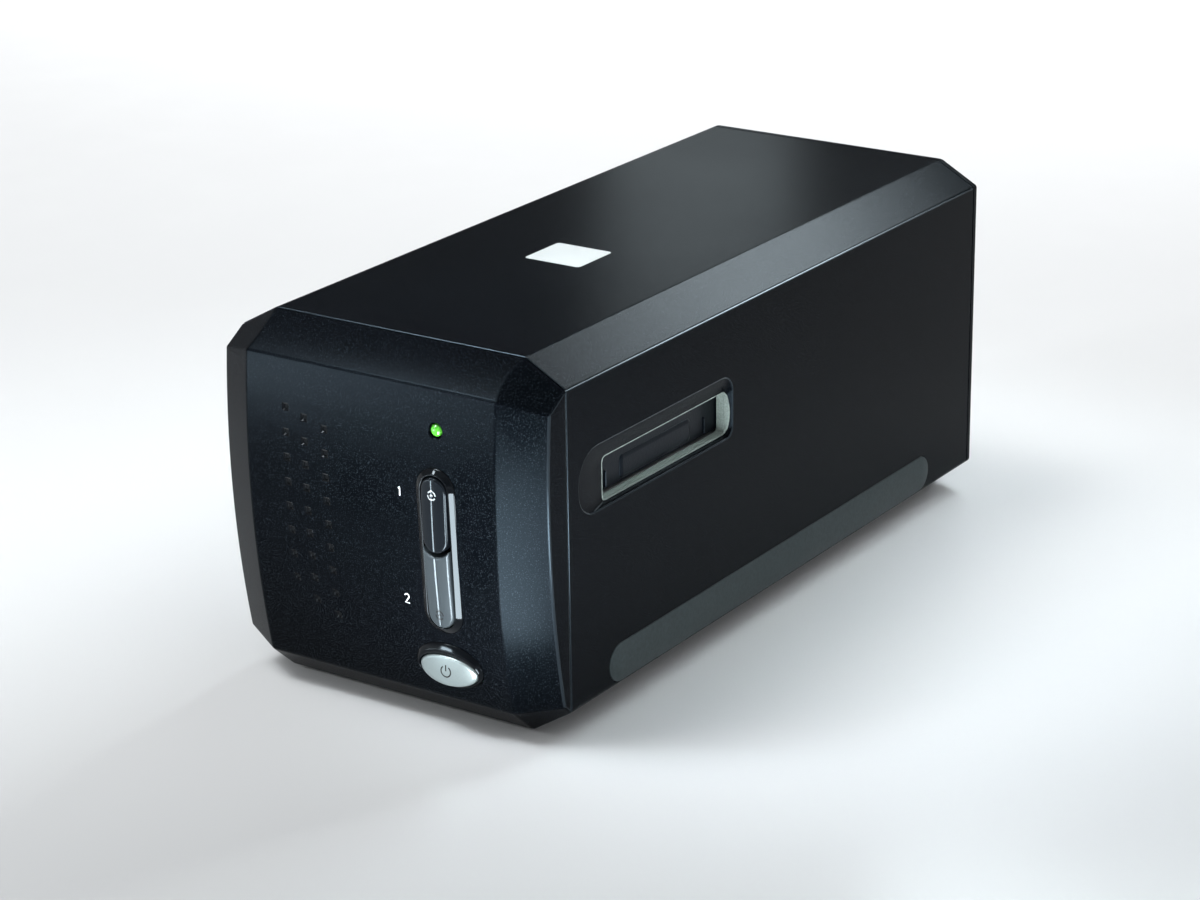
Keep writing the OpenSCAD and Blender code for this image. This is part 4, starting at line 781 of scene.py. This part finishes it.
def strip_ring(t):
    """The strip's outline, moved in by t, as y and z."""
    width = max(2 * (STRIP_HALF - t), 0.02)
    return [(y, z) for z, y in stadium(STRIP_MID, STRIP_Y[0] + t, STRIP_Y[1] - t, width, 16)]


def strip_height(f):
    return 0.12 + 0.68 * math.sin(f * math.pi / 2) ** 0.9


for s, side in ((1, "right"), (-1, "left")):
    strip = pillow(side + "_strip", strip_ring, STRIP_HALF - 0.01, strip_height, -0.8,
                   lambda h, y, z, s=s: (s * (HALF_W + h), y, z))
    smooth(strip, 40)
    dress(strip, "housing", "strip_rubber", RUBBER, side + "_side_strip")


# ---------------------------------------------------------------- dust doors
def disc_at_hinge(s, r, sides):
    """Points of a circle round the hinge's axis, as x and z."""
    step = math.pi / (sides // 2)
    turns = [(r * math.cos(a * step), r * math.sin(a * step)) for a in range(sides)]
    return [(s * (HINGE[0] + across), HINGE[1] + rise) for across, rise in turns]


door_low = SLOT_Z[0] + 0.5
door_y0, door_y1 = SLOT_Y[0] - 1, SLOT_Y[1] + 1
door_mid = (SLOT_Y[0] + SLOT_Y[1]) / 2
ends = ((door_y0 + 6.6, 0.2), (door_y0 + 6.8, 0), (door_y1 - 0.2, 0), (door_y1, 0.2))
plate_corners = [0.3, 0.5, 0.2, 0.2]
plate = rectangle((DOOR_X - DOOR_T, door_low), (DOOR_X, HINGE[1]), plate_corners, 4)
short = rectangle((DOOR_X - DOOR_T, door_low), (DOOR_X, HINGE[1] - 2.2), plate_corners, 4)
pad_y = (SLOT_Y[1] - SLOT_Y[0]) / 3.5
pad = rectangle((door_mid - pad_y, door_low + 0.8), (door_mid + pad_y, door_low + 8.5), 1.6, 6)
pad_steps = ((DOOR_X - 0.3, 0), (DOOR_X + 0.05, 0), (DOOR_X + 0.2, 0.15), (DOOR_X + 0.38, 0.5),
             (DOOR_X + 0.52, 1.1), (DOOR_X + 0.58, 1.5))
rib_y = (SLOT_Y[1] - SLOT_Y[0]) / 2.5
rib_steps = ((DOOR_X - 0.3, 0), (DOOR_X + 0.45, 0), (DOOR_X + 0.6, 0.15))
for s, side in ((1, "right"), (-1, "left")):
    door = piece("door_plate", stack_y(plate, ends, s))
    cut(door, stack_y(short, ((door_y0, 0.2), (door_y0 + 0.2, 0), (door_y0 + 8, 0)), s), "UNION")
    barrel = [[(x, y, z) for x, z in disc_at_hinge(s, BARREL_R - t, 32)] for y, t in ends]
    cut(door, loft(barrel), "UNION")
    bore = [[(x, y, z) for x, z in disc_at_hinge(s, BORE_R, 24)] for y in (door_y0 - 1, door_y1 + 1)]
    cut(door, loft(bore))
    cut(door, stack_x(pad, pad_steps, s), "UNION")
    for end in (-1, 1):
        rib_at = door_mid + end * rib_y
        rib = rectangle((rib_at - 0.3, door_low + 0.8), (rib_at + 0.3, door_low + 6.2), 0.25, 3)
        cut(door, stack_x(rib, rib_steps, s), "UNION")
    door.name = side + "_door"
    smooth(door, 32)
    dress(door, side + "_door", "gloss_black", DOOR, side + "_dust_door")


# ---------------------------------------------------------------- controls
def on_face(x, z, height):
    return (x, face_y(z, height), z)


def ring_surround(name, outline_at, profile):
    """A closed ring over the face: each step's place between hole and rim, and its height."""
    rings = [[on_face(x, z, h) for x, z in outline_at(m)] for m, h in profile]
    obj = piece(name, loft(rings, closed=True))
    smooth(obj, 50, weighted=False)
    return obj


scan_ring = ring_surround(
    "scan_surround", lambda m: stadium(CTRL_X, LOWER_Z0 - m, UPPER[1] + m, SCAN_W + 2 * m, 28),
    ((2.5, -0.1), (2.5, 0.1), (2.46, 0.3), (2.36, 0.45), (2.2, 0.56), (1.7, 0.83), (1.2, 1.1),
     (0.95, 1.23), (0.78, 1.31), (0.6, 1.34), (0.44, 1.27), (0.34, 1.1), (0.3, 0.85),
     (0.3, -SKIRT), (1.3, -SKIRT), (1.3, -0.1)))
dress(scan_ring, "housing", "gloss_black", GLOSS, "scan_button_surround")


def power_ring_outline(f):
    inner = oval(CTRL_X, POWER_Z, POWER_HALF[0] + BUTTON_GAP, POWER_HALF[1] + BUTTON_GAP)
    outer = oval(CTRL_X, POWER_Z + POWER_UP, *POWER_RIM)
    return lerp_ring(inner, outer, f)


power_ring = ring_surround(
    "power_surround", power_ring_outline,
    ((1.0, -0.1), (1.0, 0.1), (0.99, 0.25), (0.965, 0.38), (0.92, 0.47), (0.7, 0.83), (0.48, 1.19),
     (0.4, 1.3), (0.33, 1.37), (0.25, 1.4), (0.16, 1.37), (0.08, 1.27), (0.03, 1.1), (0.0, 0.85),
     (0.0, -SKIRT), (0.32, -SKIRT), (0.32, -0.1)))
dress(power_ring, "housing", "gloss_black", GLOSS, "power_button_surround")


def rim_drop(d):
    """How far a key's rounded rim lies below its top, at a distance from its edge."""
    d = max(0.0, d)
    return 0.0 if d >= RIM_R else RIM_R - math.sqrt(RIM_R ** 2 - (RIM_R - d) ** 2)


def key_surface(x, edge_distance):
    """Height of a scan key over the face: crowned, with a groove along its middle."""
    u = (x - CTRL_X) / (SCAN_W / 2)
    h = BUTTON_H + BUTTON_CROWN * (1 - u * u) - rim_drop(edge_distance)
    return h - GROOVE * math.exp(-((x - CTRL_X) / GROOVE_W) ** 2)


def key_piece(name, z_low, z_high, distance):
    """A scan key: columns across it, each running between two curved ends."""
    cols, rows = 36, 56
    us = sorted({math.sin(math.pi / 2 * (2 * i / cols - 1)) for i in range(cols + 1)}
                | {0.02, -0.02, 0.05, -0.05, 0.1, -0.1, 0.16, -0.16})
    table = []
    for j in range(rows + 1):
        v = (1 - math.cos(math.pi * j / rows)) / 2
        row = []
        for u in us:
            x = CTRL_X + u * SCAN_W / 2
            a, b = z_low(x), z_high(x)
            z = a + v * (b - a)
            row.append((x, z, key_surface(x, distance(x, z))))
        table.append(row)
    bm = bmesh.new()
    top = [[bm.verts.new(on_face(*q)) for q in row] for row in table]
    n, m = len(us), rows + 1
    for j in range(m - 1):
        for i in range(n - 1):
            bm.faces.new((top[j][i], top[j][i + 1], top[j + 1][i + 1], top[j + 1][i]))
    border = [(0, i) for i in range(n)] + [(j, n - 1) for j in range(1, m)]
    border += [(m - 1, i) for i in range(n - 2, -1, -1)] + [(j, 0) for j in range(m - 2, 0, -1)]
    base = [bm.verts.new(on_face(table[j][i][0], table[j][i][1], -KEY_DEPTH)) for j, i in border]
    for k in range(len(border)):
        a, b = border[k], border[(k + 1) % len(border)]
        bm.faces.new((top[a[0]][a[1]], base[k], base[(k + 1) % len(border)], top[b[0]][b[1]]))
    bm.faces.new(base)
    obj = piece(name, bm, merge=1e-4)
    smooth(obj, 50, weighted=False)
    return obj


R = SCAN_W / 2
UPPER_C = UPPER[0] + R
LOWER_C = LOWER_Z0 + R
HOLLOW = R + 4 * BUTTON_GAP


def arc_height(x):
    return math.sqrt(max(0.0, R * R - (x - CTRL_X) ** 2))


def upper_distance(x, z):
    zc = min(max(z, UPPER_C), UPPER[1] - R)
    return R - math.hypot(x - CTRL_X, z - zc)


def lower_distance(x, z):
    below = R - abs(x - CTRL_X)
    if z < LOWER_C:
        below = R - math.hypot(x - CTRL_X, z - LOWER_C)
    above = math.hypot(x - CTRL_X, z - UPPER_C) - HOLLOW
    return min(below, above)


upper_key = key_piece("upper_key", lambda x: UPPER_C - arc_height(x),
                      lambda x: UPPER[1] - R + arc_height(x), upper_distance)
dress(upper_key, "upper_scan_key", "button_silver", SMOKE, "upper_scan_button")
lower_key = key_piece("lower_key", lambda x: LOWER_C - arc_height(x),
                      lambda x: UPPER_C - math.sqrt(HOLLOW ** 2 - (x - CTRL_X) ** 2), lower_distance)
dress(lower_key, "lower_scan_key", "button_silver", SILVER, "lower_scan_button")


def power_height(x, z):
    """Y of the power key's domed top."""
    dx, dz = x - CTRL_X, z - POWER_Z
    f = math.hypot(dx / POWER_HALF[0], dz / POWER_HALF[1])
    y_crest = face_y(POWER_Z) - BUTTON_H - 2 * BUTTON_CROWN
    y = y_crest + POWER_BALL - math.sqrt(POWER_BALL ** 2 - dx * dx - dz * dz)
    return y + rim_drop((1 - f) * POWER_HALF[1] * 0.95)


rings = [[(x, face_y(POWER_Z) + KEY_DEPTH, z) for x, z in oval(CTRL_X, POWER_Z, *POWER_HALF)]]
dome_rings = 22
for k in range(dome_rings):
    f = 1 - (k / dome_rings) ** 1.8
    ring = oval(CTRL_X, POWER_Z, POWER_HALF[0] * f, POWER_HALF[1] * f)
    rings.append([(x, power_height(x, z), z) for x, z in ring])
power_key = piece("power_key_cap", loft(rings))
smooth(power_key, 50, weighted=False)
dress(power_key, "power_key", "button_silver", PEARL, "power_button")


def ribbon(points, width, height_at, lift=0.03, depth=0.25, bm=None):
    """A flat line laid on a surface and following it, for the printed numerals and the icons' painted marks;
    points are x and z.
    """
    rows = []
    for i, p in enumerate(points):
        a, b = points[max(0, i - 1)], points[min(len(points) - 1, i + 1)]
        d = Vector((b[0] - a[0], b[1] - a[1])).normalized()
        side = Vector((-d.y, d.x)) * width / 2
        l, r = (p[0] + side.x, p[1] + side.y), (p[0] - side.x, p[1] - side.y)
        yl, yr = height_at(*l), height_at(*r)
        rows.append([(l[0], yl - lift, l[1]), (r[0], yr - lift, r[1]),
                     (r[0], yr + depth, r[1]), (l[0], yl + depth, l[1])])
    return loft(rows, bm=bm)


def arc_points(cx, cz, r, a0, a1, n):
    """Points of an arc from a0 to a1 degrees, as x and z."""
    turns = [math.radians(a0 + (a1 - a0) * k / n) for k in range(n + 1)]
    return [(cx + r * math.cos(a), cz + r * math.sin(a)) for a in turns]


# The power key's engraved icon: a thin dark strip laid on the key, painted shade standing in for the
# engraving.
bm = ribbon(arc_points(CTRL_X, POWER_Z, 1.75, 125, 415, 30), ICON_W, power_height)
ribbon([(CTRL_X, POWER_Z + h) for h in (0.1, 1.0, 2.1)], ICON_W, power_height, bm=bm)
power_icon = piece("power_icon", bm)
dress(power_icon, "power_key", "button_silver", ICON_PAINTED_SHADE)

# The scan keys' engraved icons as thin strips: painted shade on the lower key, a painted highlight on the
# upper key.
for name, body, z_icon, dist, painted_icon_mark in (
        ("upper_icon", "upper_scan_key", 78.9, upper_distance, ICON_PAINTED_GLINT),
        ("lower_icon", "lower_scan_key", 40.2, lower_distance, ICON_PAINTED_SHADE)):
    def key_y(x, z, dist=dist):
        return face_y(z, key_surface(x, dist(x, z)))
    bm = ribbon(arc_points(CTRL_X, z_icon, ICON_R, 0, 150, 14), ICON_W, key_y)
    ribbon(arc_points(CTRL_X, z_icon, ICON_R, 180, 330, 14), ICON_W, key_y, bm=bm)
    ribbon([(CTRL_X + h, z_icon) for h in (-0.45, 0, 0.45)], ICON_W, key_y, bm=bm)
    dress(piece(name, bm), body, "button_silver", painted_icon_mark)

lens_y = face_y(LED_Z)
lamp_rings = []
for r, y in ((LED_STEM_R, LED_BACK), (LED_STEM_R, lens_y + 2.2), (LENS_R, lens_y + 2.2)):
    lamp_rings.append([(x, y, z) for x, z in oval(CTRL_X, LED_Z, r, r, 32)])
lens_rings = 12
for k in range(lens_rings + 1):
    a = math.pi / 2 * k / lens_rings
    r = LENS_R * math.cos(a) + 0.001
    lamp_rings.append([(x, lens_y + 1.0 - 1.5 * math.sin(a), z) for x, z in oval(CTRL_X, LED_Z, r, r, 32)])
lamp = piece("status_lens", loft(lamp_rings))
smooth(lamp, 50, weighted=False)
dress(lamp, "housing", "lamp_green", LAMP, "status_lamp")


# ---------------------------------------------------------------- numerals beside the two scan keys
def front_y(x, z):
    """The face's y, for lines that lie straight on it."""
    return face_y(z)


one = [(11.0, 77.9), (11.5, 78.4), (11.5, 78.0), (11.5, 75.6)]
two = arc_points(11.4, 42.8, 0.75, 165, -20, 12) + [(10.7, 40.6), (12.25, 40.6)]
bm = ribbon(one, NUMBER_W, front_y, lift=0.05, depth=0.1)
ribbon(two, NUMBER_W, front_y, lift=0.05, depth=0.1, bm=bm)
dress(piece("key_numbers", bm), "housing", "label", PRINT)

# ---------------------------------------------------------------- stage, light, camera
FLOOR_HALF = 4000
floor_mesh = bmesh.new()
grid([[(x, y, 0.0) for x in (-FLOOR_HALF, FLOOR_HALF)] for y in (-FLOOR_HALF, FLOOR_HALF)], floor_mesh)
floor = piece("floor", floor_mesh)
floor_finish = finish("floor", (0.86, 0.865, 0.87), 0.2, grain=200, spec=0.35, mottle=0.004,
                      rough_spread=0.02)
floor.data.materials.append(floor_finish)


def paint_floor_shade(material, near, far, start, end):
    """Paints light and shade into a floor's colour: darker (near) in front of and to the right of the object,
    as painted shadow and painted reflection of the dark body, paler (far) towards the back and left.
    """
    tree = material.node_tree
    shader = next(n for n in tree.nodes if n.type == "BSDF_PRINCIPLED")
    place, part, along, mix = (tree.nodes.new(k) for k in (
        "ShaderNodeTexCoord", "ShaderNodeVectorMath", "ShaderNodeMapRange", "ShaderNodeMix"))
    part.operation = "DOT_PRODUCT"
    part.inputs[1].default_value = (-0.8, 0.6, 0)
    tree.links.new(place.outputs["Object"], part.inputs[0])
    tree.links.new(part.outputs["Value"], along.inputs["Value"])
    along.interpolation_type = "SMOOTHSTEP"
    from_range(along, (start, end))
    mix.data_type = "RGBA"
    mix.inputs["A"].default_value, mix.inputs["B"].default_value = (*near, 1), (*far, 1)
    tree.links.new(along.outputs[0], mix.inputs["Factor"])
    tree.links.new(mix.outputs["Result"], shader.inputs["Base Color"])


# Painted shadow and reflection: the floor's colour is darker in front of and to the right of the object.
paint_floor_shade(floor_finish, (0.57, 0.575, 0.58), (0.96, 0.962, 0.965), -0.25, 0.17)

world = bpy.data.worlds.new("studio")
bpy.context.scene.world = world
world.use_nodes = True
tree = world.node_tree
tree.nodes.clear()
out, sky = tree.nodes.new("ShaderNodeOutputWorld"), tree.nodes.new("ShaderNodeBackground")
where, aim = tree.nodes.new("ShaderNodeTexCoord"), tree.nodes.new("ShaderNodeVectorMath")
split = tree.nodes.new("ShaderNodeSeparateXYZ")
aim.operation = "DOT_PRODUCT"
aim.inputs[1].default_value = Vector((-0.45, -0.45, 0.77)).normalized()
tree.links.new(where.outputs["Generated"], aim.inputs[0])
tree.links.new(where.outputs["Generated"], split.inputs[0])
tree.links.new(sky.outputs[0], out.inputs[0])


def ramp(value, stops):
    node = tree.nodes.new("ShaderNodeMapRange")
    node.interpolation_type = "SMOOTHSTEP"
    for name, number in zip(("From Min", "From Max", "To Min", "To Max"), stops):
        node.inputs[name].default_value = number
    tree.links.new(value, node.inputs["Value"])
    return node.outputs[0]


def total(a, b):
    node = tree.nodes.new("ShaderNodeMath")
    node.operation = "ADD"
    tree.links.new(a, node.inputs[0])
    tree.links.new(b, node.inputs[1])
    return node.outputs[0]


front_sky = ramp(aim.outputs["Value"], (0.45, 0.99, 0.04, 0.6))
horizon = ramp(split.outputs["Z"], (0.03, 0.14, 0.95, 0.0))
right_aim = tree.nodes.new("ShaderNodeVectorMath")
right_aim.operation = "DOT_PRODUCT"
right_aim.inputs[1].default_value = Vector((0.8, -0.05, 0.6)).normalized()
tree.links.new(where.outputs["Generated"], right_aim.inputs[0])
right_sky = ramp(right_aim.outputs["Value"], (0.6, 1.0, 0.0, 1.0))
tree.links.new(total(total(front_sky, horizon), right_sky), sky.inputs["Strength"])
sky.inputs["Color"].default_value = (0.97, 0.985, 1, 1)


def softbox(name, place, aim_at, size, power, colour=(1, 1, 1), turn=0.0, spread=180.0):
    """A rectangular lamp that faces aim_at, turned about Z, with its light kept within spread."""
    data = bpy.data.lights.new(name, "AREA")
    data.shape, data.size, data.size_y = "RECTANGLE", size[0], size[1]
    data.energy, data.color, data.spread = power, colour, math.radians(spread)
    obj = bpy.data.objects.new(name, data)
    bpy.context.scene.collection.objects.link(obj)
    obj.location = place
    facing = (Vector(aim_at) - Vector(place)).to_track_quat("-Z", "Y")
    turned = Matrix.Rotation(math.radians(turn), 4, "Z")
    obj.rotation_euler = (turned @ facing.to_matrix().to_4x4()).to_euler()
    obj.visible_camera = False
    return obj


softbox("back_box", (0.055, 0.4, 0.4), (0.045, 0.0, 0.1), (0.36, 0.12), 0.43, (0.84, 0.95, 1.0), spread=70)
softbox("glow_box", (-0.25, 0.45, 0.26), (0, 0.05, 0.12), (0.09, 0.09), 0.05, (0.82, 0.95, 1.0))
softbox("top_box", (-1.3, -1.0, 3.4), (0, 0.1, 0.05), (1.6, 1.6), 75, (0.97, 0.99, 1.0))
softbox("side_box", (0.95, 0.05, 0.75), (0.05, 0, 0.06), (0.5, 0.5), 0.3, (0.95, 0.99, 1.0))
softbox("far_box", (-0.6, 1.15, 1.0), (-0.6, 1.2, 0), (1.2, 0.6), 8, (0.98, 0.99, 1.0), spread=110)
softbox("rim_box", (0.32, 0.56, 0.48), (0.06, 0, 0.11), (0.1, 0.36), 0.19, (0.9, 0.97, 1.0), spread=60)
softbox("chamfer_box", (-0.13, -0.23, 0.348), (0, -0.085, 0.12), (0.12, 0.06), 0.085, (0.86, 0.95, 1.0),
        spread=40)
softbox("blob_box", (-0.5, -0.79, 0.515), (0, -0.13, 0.07), (0.1, 0.1), 1.5, (0.96, 0.99, 1.0))
softbox("left_box", (-0.501, -0.928, 0.09), (0, -0.13, 0.03), (0.16, 0.08), 1.6, (0.86, 0.95, 1.0))
# Panels that lie just over the floor and face up
softbox("front_panel", (-0.39, -0.53, 0.004), (-0.39, -0.53, 1), (0.2, 0.2), 4.5, (0.86, 0.95, 1.0), turn=39)
softbox("edge_panel", (0.195, -0.205, 0.004), (0.195, -0.205, 1), (0.07, 0.12), 0.8, (0.93, 0.98, 1.0))
softbox("strip_panel", (0.096, -0.298, 0.004), (0.096, -0.298, 1), (0.05, 0.26), 1.9, (0.93, 0.98, 1.0),
        turn=21)

camera_data = bpy.data.cameras.new("camera")
camera_data.sensor_width, camera_data.lens = 36.0, 97.2
camera = bpy.data.objects.new("camera", camera_data)
bpy.context.scene.collection.objects.link(camera)
azimuth, elevation, roll = math.radians(33.98), math.radians(20.24), math.radians(-0.81)
level = math.cos(elevation)
back = Vector((math.sin(azimuth) * level, -math.cos(azimuth) * level, math.sin(elevation)))
right = (-back).cross(Vector((0, 0, 1))).normalized()
up = right.cross(-back)
axis_x = math.cos(roll) * right + math.sin(roll) * up
axis_y = -math.sin(roll) * right + math.cos(roll) * up
turn = Matrix((axis_x, axis_y, back)).transposed().to_4x4()
camera.matrix_world = Matrix.Translation((0.5595, -0.84195, 0.41815)) @ turn
bpy.context.scene.camera = camera
bpy.context.scene.view_settings.view_transform = "Standard"
